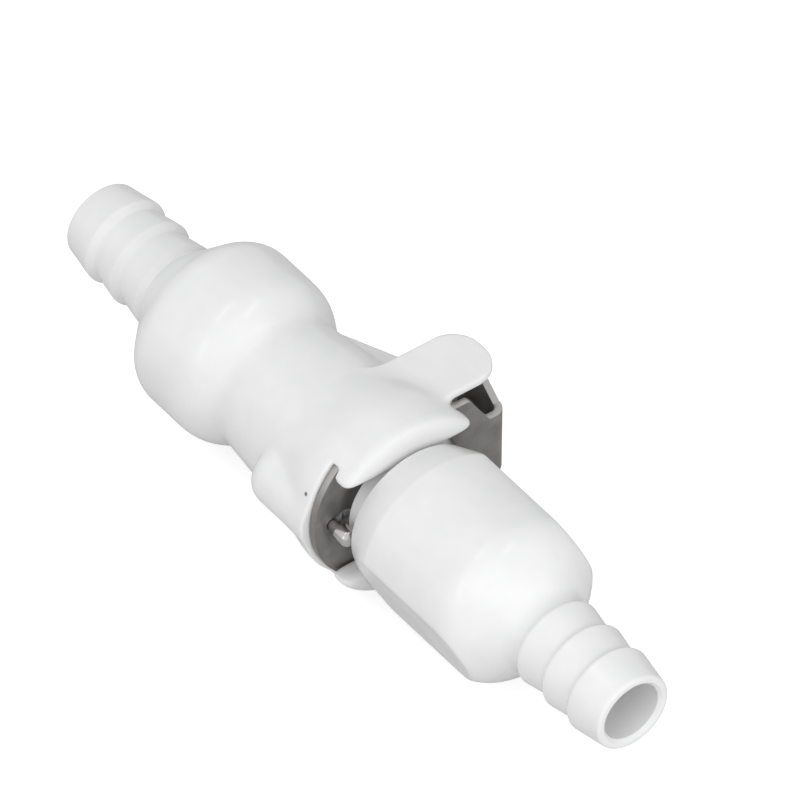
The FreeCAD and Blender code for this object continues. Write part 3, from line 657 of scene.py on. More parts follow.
def turned_piece(
    name: str,
    outline: Sequence[Pair],
    material: Material,
    segments: int,
    shift: Vector = Vector((0.0, 0.0, 0.0)),
    reshape: Callable[[Vector], Vector] | None = None,
    sharp_degrees: float = 38.0,
) -> Piece:
    """Closed piece turned about a line along the flow axis.

    Args:
        name: Name of the piece and its mesh.
        outline: Closed outline as (x, radius), in millimetres.
        material: Its finish.
        segments: Faces round the axis.
        shift: Where the line lies, in millimetres.
        reshape: Change made to each point after turning, in millimetres.
        sharp_degrees: Edges turned more than this stay sharp.

    Returns:
        The piece, stored in metres.
    """
    form = bmesh.new()
    rings: list[list[bmesh.types.BMVert]] = []
    for x, radius in outline:
        if radius < ON_AXIS:
            rings.append([form.verts.new(Vector((x, 0.0, 0.0)))] * segments)
            continue
        ring = []
        for step in range(segments):
            turn = math.tau * step / segments
            spoke = (x, radius * math.cos(turn), radius * math.sin(turn))
            ring.append(form.verts.new(spoke))
        rings.append(ring)
    for first, second in zip(rings, rings[1:] + rings[:1]):
        for step in range(segments):
            ahead = (step + 1) % segments
            face = [first[step], first[ahead], second[ahead], second[step]]
            corners = list(dict.fromkeys(face))
            if len(corners) > 2:
                form.faces.new(corners)
    for vertex in form.verts:
        if reshape is not None:
            vertex.co = reshape(vertex.co)
        vertex.co = (vertex.co + shift) * MM
    bmesh.ops.recalc_face_normals(form, faces=form.faces)
    mesh = bpy.data.meshes.new(name)
    form.to_mesh(mesh)
    form.free()
    soften(mesh, sharp_degrees)
    return new_piece(name, mesh, material)


def soften(mesh: bpy.types.Mesh, sharp_degrees: float = 38.0) -> None:
    """Shade a mesh smooth, apart from its sharp edges.

    Args:
        mesh: Mesh to shade.
        sharp_degrees: Edges turned more than this stay sharp.
    """
    mesh.shade_smooth()
    mesh.set_sharp_from_angle(angle=math.radians(sharp_degrees))


def trim_flat(mesh: bpy.types.Mesh, x_m: float) -> None:
    """Cut a mesh square to the flow axis, drop what lies behind and close the cut.

    Args:
        mesh: Mesh to cut.
        x_m: Place of the cut, in metres.
    """
    form = bmesh.new()
    form.from_mesh(mesh)
    found = bmesh.ops.bisect_plane(
        form, geom=form.verts[:] + form.edges[:] + form.faces[:], dist=ON_PLANE_M,
        plane_co=Vector((x_m, 0.0, 0.0)), plane_no=Vector((1.0, 0.0, 0.0)), clear_inner=True,
    )
    rim = [item for item in found["geom_cut"] if isinstance(item, bmesh.types.BMEdge)]
    bmesh.ops.triangle_fill(form, edges=rim, use_beauty=True, normal=Vector((-1.0, 0.0, 0.0)))
    bmesh.ops.recalc_face_normals(form, faces=form.faces)
    form.to_mesh(mesh)
    form.free()


def new_piece(name: str, mesh: bpy.types.Mesh, material: Material) -> Piece:
    """Object at the origin for a finished mesh.

    Args:
        name: Name of the piece.
        mesh: Its mesh, in metres and in place.
        material: Its finish.

    Returns:
        The piece.
    """
    mesh.materials.clear()
    mesh.materials.append(material)
    return add_object(name, mesh)


def settle(piece: Piece, body: BodyName, slot: Slot, *nodes: str) -> None:
    """Attach a piece to its body and hide the nodes of the frame that it replaces.

    Args:
        piece: Finished piece.
        body: Body that it rides on.
        slot: Not used.
        *nodes: Nodes of the frame that it replaces.
    """
    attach(piece, body.value)
    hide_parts(*nodes)
    log.info("%s: %d faces", piece.name, len(piece.data.polygons))


def merged_copy(node: str) -> bpy.types.Mesh:
    """Copy of a frame node's mesh with its loose triangles joined.

    Args:
        node: Name of the node.

    Returns:
        The joined mesh.
    """
    form = bmesh.new()
    form.from_mesh(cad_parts[node].data)
    bmesh.ops.remove_doubles(form, verts=form.verts, dist=SAME_PLACE_M)
    mesh = bpy.data.meshes.new(node + "_joined")
    form.to_mesh(mesh)
    form.free()
    return mesh


# Hose barb, shared by both halves


@dataclass(frozen=True)
class HoseBarb:
    """Three-ridged hose barb, measured from its mouth."""

    bore: float = 3.6
    tip: float = 4.75
    ridge: float = 5.5
    valley: float = 4.85
    root: float = 5.0
    first_ridge: float = 4.6
    pitch: float = 4.4
    ridges: int = 3
    drop: float = 0.85
    crest_round: float = 0.45
    valley_round: float = 0.5
    tip_round: float = 0.5
    mouth_chamfer: float = 0.4
    mouth_round: float = 0.15

    def corners(self, last_foot: bool) -> list[Triple]:
        """Outer corners as distance from the mouth, radius and rounding.

        Args:
            last_foot: Whether the last ridge drops to a root of its own.

        Returns:
            The corners, from the mouth on.
        """
        found: list[Triple] = [
            (0.0, self.bore + self.mouth_chamfer, self.mouth_round),
            (0.0, self.tip, self.tip_round),
        ]
        for ridge in range(self.ridges):
            crest = self.first_ridge + ridge * self.pitch
            last = ridge == self.ridges - 1
            foot = self.root if last else self.valley
            found.append((crest, self.ridge, self.crest_round))
            if last_foot or not last:
                found.append((crest + self.drop, foot, self.valley_round))
        return found


# Socket half


@dataclass(frozen=True)
class BodyForm:
    """Sizes of the main moulding; each one is an input of its Geometry Nodes tree."""

    cell: float = 0.25
    blend: float = 1.3
    edge: float = 0.4
    seam_x: float = 21.6
    bulb_radius: float = 10.65
    shoulder_x: float = 28.9
    neck_x: float = 32.1
    neck_radius: float = 8.35
    bulb_blend: float = 2.2
    neck_blend: float = 1.6
    flare_blend: float = 1.0
    collar_blend: float = 0.9
    flare_x: float = 44.6
    flare_radius: float = 9.75
    collar_x: float = 50.6
    collar_radius: float = 11.45
    front_x: float = 52.44
    slot_end_x: float = 53.46
    slot_half: float = 7.86
    lip_front_x: float = 56.36
    lip_front_blend: float = 1.8
    lip_tip_blend: float = 1.9
    lip_back_blend: float = 1.2
    lip_chord: float = 6.75
    mouth_radius: float = 7.15
    boss_y: float = -8.3
    boss_radius: float = 3.67
    boss_back_x: float = 41.7
    boss_round: float = 2.6
    pin_y: float = -8.4
    pin_bore: float = 1.51
    pin_floor_x: float = 43.24
    guard_back_x: float = 44.1
    guard_wall: float = 1.0
    guard_back_wall: float = 1.27
    guard_half: float = 9.1
    guard_reach: float = 15.8
    guard_round: float = 3.7
    guard_root_y: float = 3.4
    gusset_half: float = 0.8
    gusset_x: float = 28.0
    gusset_y: float = 8.6
    pocket_x: float = 48.95
    pocket_radius: float = 2.3
    pocket_floor_y: float = 8.2
    chamber_radius: float = 7.6
    recess_radius: float = 8.94
    recess_end_x: float = 24.64
    seat_x: float = 29.4
    throat_x: float = 32.9
    throat_radius: float = 4.55
    socket_floor_x: float = 37.0
    socket_radius: float = 6.25


class SocketMoulding:
    """Main moulding of the socket half, formed as one blended solid in Geometry Nodes."""

    LOW = (20.6, -13.2, -13.6)
    HIGH = (57.4, 16.8, 13.6)
    BOSS_BLEND = 0.8
    GUSSET_BLEND = 0.35
    GUSSET_LAP = 0.5
    GUSSET_ROOT = 2.0
    ROOM_EDGE = 0.2
    HOLLOW_EDGE = 0.5
    CUT_EDGE = 0.8
    SKIN = 0.5
    SHARP_DEGREES = 60.0

    def __init__(self, sizes: BodyForm, material: Material) -> None:
        """Build the tree.

        Args:
            sizes: Sizes of the moulding.
            material: Its finish.
        """
        self.form = SizedTree("socket_moulding", sizes)
        self.material = material
        sheet = self.form.sheet
        place = sheet.add("GeometryNodeInputPosition")
        parts = sheet.add("ShaderNodeSeparateXYZ")
        sheet.join(place.outputs[0], parts.inputs[0])
        self.x, self.y, self.z = (Field(sheet, socket) for socket in parts.outputs)
        self.height = self.z.size()
        self.radius = self.y.across(self.z)

    def ramp(self, *names: str) -> Field:
        """Radius at x on the straight line through two places of a profile.

        Args:
            *names: Inputs with x and radius of the first place, then of the second.

        Returns:
            The radius.
        """
        x0, r0, x1, r1 = map(self.form.size, names)
        slope = (r1 - r0).math("DIVIDE", x1 - x0)
        return (self.x - x0) * slope + r0

    def shell(self) -> Field:
        """Distance to the turned outside: bulb, neck, flare and collar."""
        size = self.form.size
        front = self.ramp("shoulder_x", "bulb_radius", "neck_x", "neck_radius")
        neck = self.ramp("neck_x", "neck_radius", "flare_x", "flare_radius")
        flare = self.ramp("flare_x", "flare_radius", "collar_x", "collar_radius")
        bulb = front.lower(size("bulb_radius"), size("bulb_blend"))
        rise = neck.higher(flare, size("flare_blend"))
        profile = bulb.higher(rise, size("neck_blend"))
        return self.radius - profile.lower(size("collar_radius"), size("collar_blend"))

    def slot(self) -> Field:
        """Distance to the slot that the latch slides in."""
        size = self.form.size
        middle_x = (size("front_x") + size("slot_end_x")) * 0.5
        half_x = (size("slot_end_x") - size("front_x")) * 0.5
        return ((self.x - middle_x).size() - half_x).higher(self.height - size("slot_half"))

    def lips(self, outside: Field) -> Field:
        """Distance to both front lips, which carry the outside on past the slot.

        Args:
            outside: Distance to the outside that they belong to.

        Returns:
            The lips, with soft tips and edges.
        """
        size = self.form.size
        crescent = outside.higher(size("lip_chord") - self.height, size("lip_tip_blend"))
        crescent = crescent.higher(self.x - size("lip_front_x"), size("lip_front_blend"))
        return crescent.without(self.slot(), size("lip_back_blend"))

    def boss(self) -> Field:
        """Distance to the round-ended boss for the lock pin."""
        size = self.form.size
        curve = size("boss_round")
        around = (self.y - size("boss_y")).across(self.z) - (size("boss_radius") - curve)
        behind = (size("boss_back_x") + curve) - self.x
        return around.meeting(behind, curve)

    def guard(self) -> Field:
        """Distance to the two wings and the wall of the thumb guard."""
        size = self.form.size
        corner = size("guard_round")
        middle_x = (size("guard_back_x") + size("front_x")) * 0.5
        half_x = (size("front_x") - size("guard_back_x")) * 0.5 - corner
        along = (self.x - middle_x).size() - half_x
        up = self.y - (size("guard_reach") - corner)
        slab = along.meeting(up, corner).higher(self.height - size("guard_half"), size("edge"))
        slab = slab.higher(size("guard_root_y") - self.y, size("edge"))
        room = (size("guard_back_x") + size("guard_back_wall") - self.x).higher(
            self.height - (size("guard_half") - size("guard_wall")), size("edge")
        )
        return slab.without(room, size("edge") * self.ROOM_EDGE)

    def gusset(self) -> Field:
        """Distance to the thin rib between the bulb and the guard's wall."""
        size = self.form.size
        end_x = size("guard_back_x") + self.GUSSET_LAP
        run = end_x - size("gusset_x")
        rise = size("guard_reach") - size("gusset_y")
        above = (self.y - size("gusset_y")) * run - (self.x - size("gusset_x")) * rise
        edge = above.math("DIVIDE", run.across(rise))
        sides = (self.height - size("gusset_half")).higher(self.x - end_x)
        root_y = size("throat_radius") + self.GUSSET_ROOT
        return edge.higher(sides, size("edge")).higher(root_y - self.y)

    def hollow(self) -> Field:
        """Distance to the room inside, on the flow axis."""
        size = self.form.size
        recess = (self.radius - size("recess_radius")).higher(self.x - size("recess_end_x"))
        cone = self.ramp("seat_x", "chamber_radius", "throat_x", "throat_radius")
        bore = cone.lower(size("chamber_radius")).higher(size("throat_radius"))
        chamber = self.radius - bore
        socket = (self.radius - size("socket_radius")).higher(size("socket_floor_x") - self.x)
        return recess.lower(chamber).lower(socket)

    def cuts(self) -> Field:
        """Distance to the latch slot, the mouth, the pin's bore and the spring's pocket."""
        size = self.form.size
        mouth = (self.radius - size("mouth_radius")).higher(size("front_x") - self.x)
        pin = (self.y - size("pin_y")).across(self.z) - size("pin_bore")
        pin = pin.higher(size("pin_floor_x") - self.x)
        pocket = (self.x - size("pocket_x")).across(self.z) - size("pocket_radius")
        pocket = pocket.higher(size("pocket_floor_y") - self.y)
        return self.slot().lower(mouth).lower(pin).lower(pocket)

    def solid(self) -> Field:
        """Distance to the whole moulding."""
        size = self.form.size
        blend = size("blend")
        core = self.shell().lower(self.boss(), blend * self.BOSS_BLEND)
        outside = core.lower(self.guard(), blend).lower(self.gusset(), blend * self.GUSSET_BLEND)
        behind = outside.higher(self.x - size("front_x"), size("edge"))
        joined = behind.lower(self.lips(outside))
        room = joined.without(self.hollow(), size("edge") * self.HOLLOW_EDGE)
        return room.without(self.cuts(), size("edge") * self.CUT_EDGE)

    def build(self) -> Piece:
        """Sample the distance on a grid of cells and take its surface.

        Returns:
            The finished piece.
        """
        sheet = self.form.sheet
        filled = (-self.solid() + self.SKIN).higher(0.0).lower(1.0)
        cube = sheet.add("GeometryNodeVolumeCube")
        sheet.join(filled.socket, cube.inputs["Density"])
        cube.inputs["Background"].default_value = 0.0
        cube.inputs["Min"].default_value = self.LOW
        cube.inputs["Max"].default_value = self.HIGH
        cells_per_mm = self.form.size("cell").math("POWER", -1.0)
        for name, low, high in zip("XYZ", self.LOW, self.HIGH):
            sheet.join((cells_per_mm * (high - low)).socket, cube.inputs[f"Resolution {name}"])
        skin = sheet.add("GeometryNodeVolumeToMesh")
        skin.inputs["Threshold"].default_value = self.SKIN
        sheet.join(cube.outputs[0], skin.inputs["Volume"])
        self.form.close(skin.outputs[0], self.material)
        piece = self.form.make("socket_moulding")
        trim_flat(piece.data, self.form.sizes.seam_x * MM)
        soften(piece.data, self.SHARP_DEGREES)
        return piece


@dataclass(frozen=True)
class BarbEnd:
    """Turned barb end of the socket half, with the back of the bulb and its spigot."""

    barb: HoseBarb = HoseBarb()
    crease_x: float = 14.2
    bulb_radius: float = BodyForm.bulb_radius
    bulb_slope: float = 0.95
    bulb_round: float = 3.55
    crease_round: float = 0.25
    seam_x: float = BodyForm.seam_x
    spigot_radius: float = 8.9
    spigot_length: float = 3.0
    chamber_radius: float = BodyForm.chamber_radius
    ledge_x: float = 16.2
    ledge_radius: float = 5.2
    ledge_depth: float = 1.8
    opening: float = 2.2
    segments: int = 192

    def build(self, material: Material) -> Piece:
        """Turn the piece.

        Args:
            material: Its finish.

        Returns:
            The finished piece.
        """
        bulb_x = self.crease_x + (self.bulb_radius - self.barb.root) / self.bulb_slope
        end_x = self.seam_x + self.spigot_length
        corners = self.barb.corners(last_foot=False) + [
            (self.crease_x, self.barb.root, self.crease_round),
            (bulb_x, self.bulb_radius, self.bulb_round),
            (self.seam_x, self.bulb_radius, 0.0),
            (self.seam_x, self.spigot_radius, 0.0),
            (end_x, self.spigot_radius, 0.0),
            (end_x, self.chamber_radius, 0.0),
            (self.ledge_x + self.ledge_depth + self.opening, self.chamber_radius, 0.0),
            (self.ledge_x + self.ledge_depth, self.ledge_radius, 0.0),
            (self.ledge_x, self.ledge_radius, 0.0),
            (self.ledge_x, self.barb.bore, 0.0),
            (self.barb.mouth_chamfer, self.barb.bore, self.barb.mouth_round),
        ]
        return turned_piece("barb_end", rounded_outline(corners), material, self.segments)


# Springs


@dataclass(frozen=True)
class CoilSizes:
    """Sizes of one coil spring; each one is an input of its Geometry Nodes tree."""

    coil_radius: float
    wire_radius: float
    free_height: float
    coils: float
    steps_per_coil: int = 40
    wire_sides: int = 12


@dataclass(frozen=True)
class CoilSpring:
    """Coil spring that stands on a point along an axis."""

    name: str
    node: str
    sizes: CoilSizes
    foot: Triple
    axis: Axis
    body: BodyName
    joint: Joint
    stroke: float
    foot_is_fixed: bool = True

    def build(self, material: Material) -> Piece:
        """Wind the spring.

        Args:
            material: Its finish.

        Returns:
            The finished piece.
        """
        form = SizedTree(self.name, self.sizes)
        sheet = form.sheet
        spiral = sheet.add("GeometryNodeCurveSpiral")
        section = sheet.add("GeometryNodeCurvePrimitiveCircle")
        rise = form.size("free_height") - form.size("wire_radius") * 2.0
        sheet.join(rise.socket, spiral.inputs["Height"])
        for size, node, name in (
            ("steps_per_coil", spiral, "Resolution"),
            ("coils", spiral, "Rotations"),
            ("coil_radius", spiral, "Start Radius"),
            ("coil_radius", spiral, "End Radius"),
            ("wire_sides", section, "Resolution"),
            ("wire_radius", section, "Radius"),
        ):
            sheet.join(form.size(size).socket, node.inputs[name])
        sweep = sheet.add("GeometryNodeCurveToMesh")
        sweep.inputs["Fill Caps"].default_value = True
        sheet.join(spiral.outputs[0], sweep.inputs["Curve"])
        sheet.join(section.outputs[0], sweep.inputs["Profile Curve"])
        place = sheet.add("GeometryNodeTransform")
        direction = Vector(self.axis.value)
        turn = direction.to_track_quat("Z", "Y").to_euler()
        place.inputs["Rotation"].default_value = turn
        start = Vector(self.foot) + direction * self.sizes.wire_radius
        place.inputs["Translation"].default_value = start
        sheet.join(sweep.outputs[0], place.inputs["Geometry"])
        form.close(place.outputs[0], material)
        piece = form.make(self.name)
        soften(piece.data)
        return piece

    def install(self, material: Material) -> None:
        """Wind the spring, settle it and give it a mesh of its own.

        Args:
            material: Its finish.
        """
        piece = self.build(material)
        settle(piece, self.body, Slot.WIRE, self.node)
        length = self.sizes.free_height
        fixed = Vector(self.foot)
        if not self.foot_is_fixed:
            fixed = fixed + Vector(self.axis.value) * length
        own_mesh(piece)


# Latch, lock pin and insert


@dataclass(frozen=True)
class LatchSheet:
    """Punched and bent latch sheet with broken edges."""

    edge: float = 0.12
    edge_steps: int = 2
    corner_degrees: float = 35.0
    flat_degrees: float = 0.5
    sharp_degrees: float = 30.0

    def build(self, material: Material) -> Piece:
        """Break the sharp edges of the frame's own latch shape.

        Args:
            material: Its finish.

        Returns:
            The finished piece.
        """
        mesh = merged_copy("latch")
        form = bmesh.new()
        form.from_mesh(mesh)
        bmesh.ops.dissolve_limit(
            form, angle_limit=math.radians(self.flat_degrees), verts=form.verts, edges=form.edges
        )
        limit = math.radians(self.corner_degrees)
        sharp = [edge for edge in form.edges if edge.is_manifold and edge.calc_face_angle() > limit]
        bmesh.ops.bevel(
            form, geom=sharp, offset=self.edge * MM, segments=self.edge_steps, affect="EDGES",
            profile=0.5, clamp_overlap=True,
        )
        form.to_mesh(mesh)
        form.free()
        soften(mesh, self.sharp_degrees)
        return new_piece("latch_sheet", mesh, material)


@dataclass(frozen=True)
class LockPin:
    """Turned lock pin with a domed head, a neck in the keyhole and a stem in its spring."""

    y: float = -8.4
    front_x: float = 56.85
    head_length: float = 2.1
    head: float = 1.05
    neck: float = 0.7
    stem: float = 0.6
    collar: float = 1.45
    collar_front_x: float = 50.2
    collar_length: float = 1.2
    shoulder: float = 1.3
    stem_length: float = 3.6
    dome_round: float = 0.75
    edge: float = 0.12
    segments: int = 72
    arc_steps: int = 10

    def build(self, material: Material) -> Piece:
        """Turn the pin.

        Args:
            material: Its finish.

        Returns:
            The finished piece.
        """
        collar_back = self.collar_front_x - self.collar_length
        stem_end = collar_back - self.stem_length
        shoulder_end = self.collar_front_x + self.shoulder
        head_back = self.front_x - self.head_length
        corners = [
            (stem_end, 0.0, 0.0),
            (stem_end, self.stem, self.edge),
            (collar_back, self.stem, 0.0),
            (collar_back, self.collar, self.edge),
            (self.collar_front_x, self.collar, self.edge),
            (self.collar_front_x, self.head, 0.0),
            (shoulder_end, self.head, self.edge),
            (shoulder_end, self.neck, 0.0),
            (head_back, self.neck, 0.0),
            (head_back, self.head, self.edge),
            (self.front_x, self.head, self.dome_round),
            (self.front_x, 0.0, 0.0),
        ]
        shift = Vector((0.0, self.y, 0.0))
        outline = rounded_outline(corners, self.arc_steps)
        return turned_piece("lock_pin_turned", outline, material, self.segments, shift)


@dataclass(frozen=True)
class InsertMoulding:
    """Moulded insert body with two wrench flats and its hose barb."""

    barb: HoseBarb = HoseBarb()
    overall: float = 96.0
    face_x: float = 56.9
    face_radius: float = 8.55
    radius: float = 10.3
    front_taper: float = 4.45
    front_round: float = 1.6
    across_flats: float = 17.8
    flats_turn_degrees: float = 23.4
    flats_edge: float = 0.18
    shoulder_x: float = 76.0
    shoulder_round: float = 5.8
    taper: float = 4.5
    root_round: float = 2.2
    plug_radius: float = 7.34
    plug_length: float = 3.64
    chamber_radius: float = 6.9
    ledge_x: float = 73.5
    plug_margin: float = 0.2
    longest_run: float = 0.35
    segments: int = 256
    arc_steps: int = 12
    sharp_degrees: float = 32.0

    def flatten(self, point: Vector) -> Vector:
        """Press a point of the turned form back to the wrench flats.

        Args:
            point: Point in millimetres.

        Returns:
            The point on the flattened form.
        """
        if math.hypot(point.y, point.z) < self.plug_radius + self.plug_margin:
            return point
        turn = Matrix.Rotation(math.radians(-self.flats_turn_degrees), 3, "X")
        own = turn @ point
        reach = abs(own.y)
        limit = self.across_flats / 2
        overlap = max(self.flats_edge - abs(reach - limit), 0.0) / self.flats_edge
        pressed = min(reach, limit) - overlap * overlap * self.flats_edge / 4
        if reach > limit - self.flats_edge:
            own.y = math.copysign(max(pressed, 0.0), own.y)
        return turn.inverted() @ own

    def build(self, material: Material) -> Piece:
        """Turn the insert and press its flats.

        Args:
            material: Its finish.

        Returns:
            The finished piece.
        """
        barb = [
            (self.overall - distance, radius, curve)
            for distance, radius, curve in reversed(self.barb.corners(last_foot=True))
        ]
        plug_end = self.face_x + self.plug_length
        corners = [
            (self.face_x, self.plug_radius, 0.0),
            (self.face_x, self.face_radius, 0.0),
            (self.face_x + self.front_taper, self.radius, self.front_round),
            (self.shoulder_x, self.radius, self.shoulder_round),
            (self.shoulder_x + self.taper, self.barb.root, self.root_round),
            *barb,
            (self.overall - self.barb.mouth_chamfer, self.barb.bore, self.barb.mouth_round),
            (self.ledge_x, self.barb.bore, 0.0),
            (self.ledge_x, self.chamber_radius, 0.0),
            (plug_end, self.chamber_radius, 0.0),
            (plug_end, self.plug_radius, 0.0),
        ]
        outline = with_short_runs(rounded_outline(corners, self.arc_steps), self.longest_run)
        return turned_piece(
            "insert_moulding", outline, material, self.segments,
            reshape=self.flatten, sharp_degrees=self.sharp_degrees,
        )


# Whole coupling


@dataclass
class SocketHalf:
    """Socket half with its latch, pin, springs and valve."""

    finishes: Finishes
    form: BodyForm = BodyForm()
    barb_end: BarbEnd = BarbEnd()
    latch: LatchSheet = LatchSheet()
    pin: LockPin = LockPin()
    springs: tuple[CoilSpring, ...] = (
        CoilSpring(
            "latch_coil", "latch_spring", CoilSizes(1.8, 0.25, 6.3, 4.0),
            (48.95, 8.25, 0.0), Axis.THUMB, BodyName.SOCKET, Joint.LATCH, 1.62,
        ),
        CoilSpring(
            "lock_pin_coil", "lock_pin_spring", CoilSizes(1.0, 0.2, 5.66, 5.0),
            (43.29, -8.4, 0.0), Axis.FLOW, BodyName.SOCKET, Joint.LOCK_PIN, 1.02,
        ),
        CoilSpring(
            "socket_valve_coil", "body_valve_spring", CoilSizes(4.4, 0.4, 9.3, 4.0),
            (16.25, 0.0, 0.0), Axis.FLOW, BodyName.SOCKET, Joint.SOCKET_VALVE, 0.62,
        ),
    )

    def build(self) -> None:
        """Make and place every piece of the half."""
        finishes = self.finishes
        moulding = SocketMoulding(self.form, finishes.marked_acetal).build()
        settle(moulding, BodyName.SOCKET, Slot.ACETAL, "coupling_body")
        settle(self.barb_end.build(finishes.acetal), BodyName.SOCKET, Slot.ACETAL, "body_barb")
        settle(self.latch.build(finishes.sheet), BodyName.LATCH, Slot.SHEET, "latch")
        settle(self.pin.build(finishes.turned), BodyName.LOCK_PIN, Slot.TURNED, "lock_pin")
        for spring in self.springs:
            spring.install(finishes.wire)
        dress_nodes(finishes.acetal, "body_valve")
        dress_nodes(finishes.nitrile, "body_valve_seal")


@dataclass
class InsertHalf:
    """Insert half with its nose, O-rings, valve and spring."""

    finishes: Finishes
    moulding: InsertMoulding = InsertMoulding()
    spring: CoilSpring = CoilSpring(
        "insert_valve_coil", "insert_valve_spring", CoilSizes(4.0, 0.4, 9.5, 4.0),
        (63.95, 0.0, 0.0), Axis.FLOW, BodyName.INSERT, Joint.INSERT_VALVE, 0.62, False,
    )

    def build(self) -> None:
        """Make and place every piece of the half."""
        finishes = self.finishes
        settle(self.moulding.build(finishes.acetal), BodyName.INSERT, Slot.ACETAL, "insert_body")
        self.spring.install(finishes.wire)
        dress_nodes(finishes.acetal, "insert_nose", "insert_valve")
        dress_nodes(finishes.nitrile, "front_o_ring", "rear_o_ring", "insert_valve_seal")


def dress_nodes(material: Material, *nodes: str) -> None:
    """Put a finish on nodes of the frame that keep their own shape.

    Args:
        material: Finish for all of them.
        *nodes: Names of the nodes.
    """
    for node in nodes:
        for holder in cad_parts[node].material_slots:
            holder.material = material
        log.info("%s: dressed", node)


# Studio


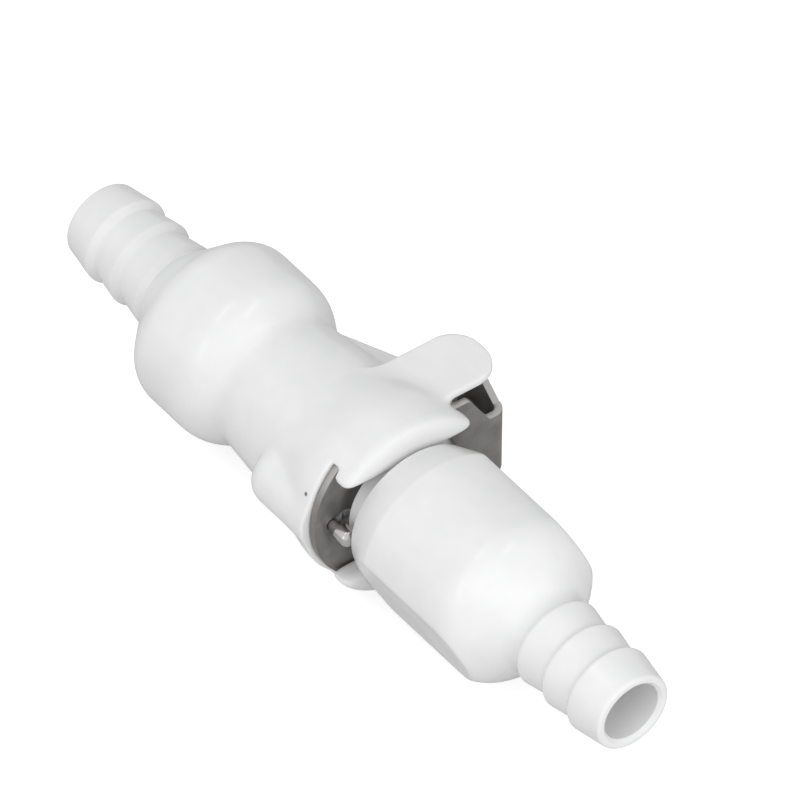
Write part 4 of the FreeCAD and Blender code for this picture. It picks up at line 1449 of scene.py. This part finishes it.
@dataclass(frozen=True)
class Studio:
    """White sweep, soft lamps and the camera."""

    floor_m: float = 3.0
    floor_colour: Triple = (0.68, 0.68, 0.68)
    floor_roughness: float = 0.9
    floor_glow: float = 0.62
    world_strength: float = 0.4
    key_power: float = 4.0
    key_side_m: float = 1.1
    fill_power: float = 3.5
    fill_side_m: float = 0.8
    back_power: float = 1.35
    tube_power: float = 0.35
    aim_m: Triple = (0.0466, 0.0058, 0.0052)
    right: Triple = (0.605, 0.800, 0.010)
    up: Triple = (-0.563, 0.407, 0.720)
    back: Triple = (0.572, -0.441, 0.697)
    distance_m: float = 3.0
    sensor_mm: float = 36.0
    clip_m: Pair = (0.01, 10.0)
    frame_width_m: float = 0.0868
    middle_m: Triple = (0.048, 0.0, 0.0)
    lamp_distance_m: float = 0.9
    key_lift: float = 0.05
    key_shift: float = 0.25
    fill_direction: Triple = (0.93, 0.1, 0.3)
    back_direction: Triple = (-0.8, -0.25, 0.5)
    tube_run: Triple = (0.3, -0.67, -0.46)
    tube_sides_m: Pair = (0.45, 0.04)
    tube_directions: tuple[Triple, ...] = (
        (0.0, -0.9, 0.47), (-0.3, -0.23, 0.93), (0.2, 0.16, 0.95),
    )

    def add_camera(self) -> None:
        """Long-lens camera at the photograph's viewing angle."""
        data = bpy.data.cameras.new("camera")
        data.sensor_width = self.sensor_mm
        data.lens = data.sensor_width * self.distance_m / self.frame_width_m
        data.clip_start, data.clip_end = self.clip_m
        camera = add_object("camera", data)
        back = Vector(self.back).normalized()
        right = Vector(self.right)
        right = (right - back * right.dot(back)).normalized()
        up = back.cross(right)
        turn = Matrix((right, up, back)).transposed().to_4x4()
        place = Matrix.Translation(Vector(self.aim_m) + back * self.distance_m)
        camera.matrix_world = place @ turn
        bpy.context.scene.camera = camera

    def add_lamp(
        self,
        name: str,
        towards: Vector,
        along: Vector,
        sides_m: Pair,
        power: float,
        mirrored: bool = False,
    ) -> None:
        """Soft lamp that hangs in one direction from the coupling and faces it.

        Args:
            name: Name of the lamp.
            towards: Direction from the coupling to the lamp.
            along: Direction that the lamp's first side runs in.
            sides_m: Sides of its rectangle, in metres.
            power: Its power in watts.
            mirrored: Whether glossy surfaces show its reflection.
        """
        data = bpy.data.lights.new(name, "AREA")
        data.shape = "RECTANGLE"
        data.size, data.size_y = sides_m
        data.energy = power
        lamp = add_object(name, data)
        out = towards.normalized()
        across = out.cross(along).normalized()
        turn = Matrix((across.cross(out), across, out)).transposed().to_4x4()
        place = Vector(self.middle_m) + out * self.lamp_distance_m
        lamp.matrix_world = Matrix.Translation(place) @ turn
        lamp.visible_glossy = mirrored

    def add_world(self) -> None:
        """Even white surroundings that the camera sees as pure white."""
        world = bpy.data.worlds.new("surroundings")
        world.use_nodes = True
        bpy.context.scene.world = world
        sheet = Sheet(world.node_tree)
        sky = world.node_tree.nodes["Background"]
        sky.inputs["Color"].default_value = WHITE
        kinds = ("Is Glossy Ray", "Is Transmission Ray")
        sheet.join(sheet.seen_directly(self.world_strength, 1.0, *kinds), sky.inputs["Strength"])

    def add_floor(self, height_m: float) -> None:
        """White floor under the coupling that keeps its soft shadow.

        Args:
            height_m: Height of the lowest point of the coupling.
        """
        form = bmesh.new()
        bmesh.ops.create_grid(form, x_segments=1, y_segments=1, size=self.floor_m / 2)
        mesh = bpy.data.meshes.new("floor")
        form.to_mesh(mesh)
        form.free()
        sheet = ShaderSheet("white_floor")
        sheet.put(Roughness=self.floor_roughness, Specular_IOR_Level=0.0)
        sheet.shader.inputs["Base Color"].default_value = (*self.floor_colour, 1.0)
        glow = sheet.add("ShaderNodeEmission")
        glow.inputs["Color"].default_value = WHITE
        sheet.join(sheet.seen_directly(0.0, self.floor_glow), glow.inputs["Strength"])
        total = sheet.add("ShaderNodeAddShader")
        sheet.join(sheet.shader.outputs[0], total.inputs[0])
        sheet.join(glow.outputs[0], total.inputs[1])
        sheet.join(total.outputs[0], sheet.tree.nodes["Material Output"].inputs["Surface"])
        mesh.materials.append(sheet.material)
        floor = add_object("floor", mesh)
        floor.location = (*self.middle_m[:2], height_m)
        floor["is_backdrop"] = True

    def build(self, height_m: float) -> None:
        """Set the view transform and add everything round the coupling.

        Args:
            height_m: Height of the floor.
        """
        bpy.context.scene.view_settings.view_transform = "Standard"
        self.add_world()
        self.add_floor(height_m)
        back, right, up = Vector(self.back), Vector(self.right), Vector(self.up)
        key = back + up * self.key_lift - right * self.key_shift
        lamps = (
            ("key", key, right, self.key_side_m, self.key_power),
            ("fill", Vector(self.fill_direction), up, self.fill_side_m, self.fill_power),
            ("back", Vector(self.back_direction), up, self.fill_side_m, self.back_power),
        )
        for name, towards, along, side_m, power in lamps:
            self.add_lamp(name, towards, along, (side_m, side_m), power)
        run = Vector(self.tube_run)
        for number, direction in enumerate(self.tube_directions, 1):
            towards = Vector(direction)
            self.add_lamp(
                f"tube_{number}", towards, run, self.tube_sides_m, self.tube_power, mirrored=True
            )
        self.add_camera()


def as_lists(corners: Iterable[Vector]) -> list[list[float]]:
    """Two corners of a box as plain lists of numbers."""
    return [[float(value) for value in corner] for corner in corners]


def main() -> None:
    """Build the coupling and its studio."""
    packed_box = as_lists(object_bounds())
    finishes = Finishes.make()
    for half in (SocketHalf(finishes), InsertHalf(finishes)):
        half.build()
        log.info("%s: done", type(half).__name__)
    Studio().build(packed_box[0][2])


if __name__ == "__main__":
    main()
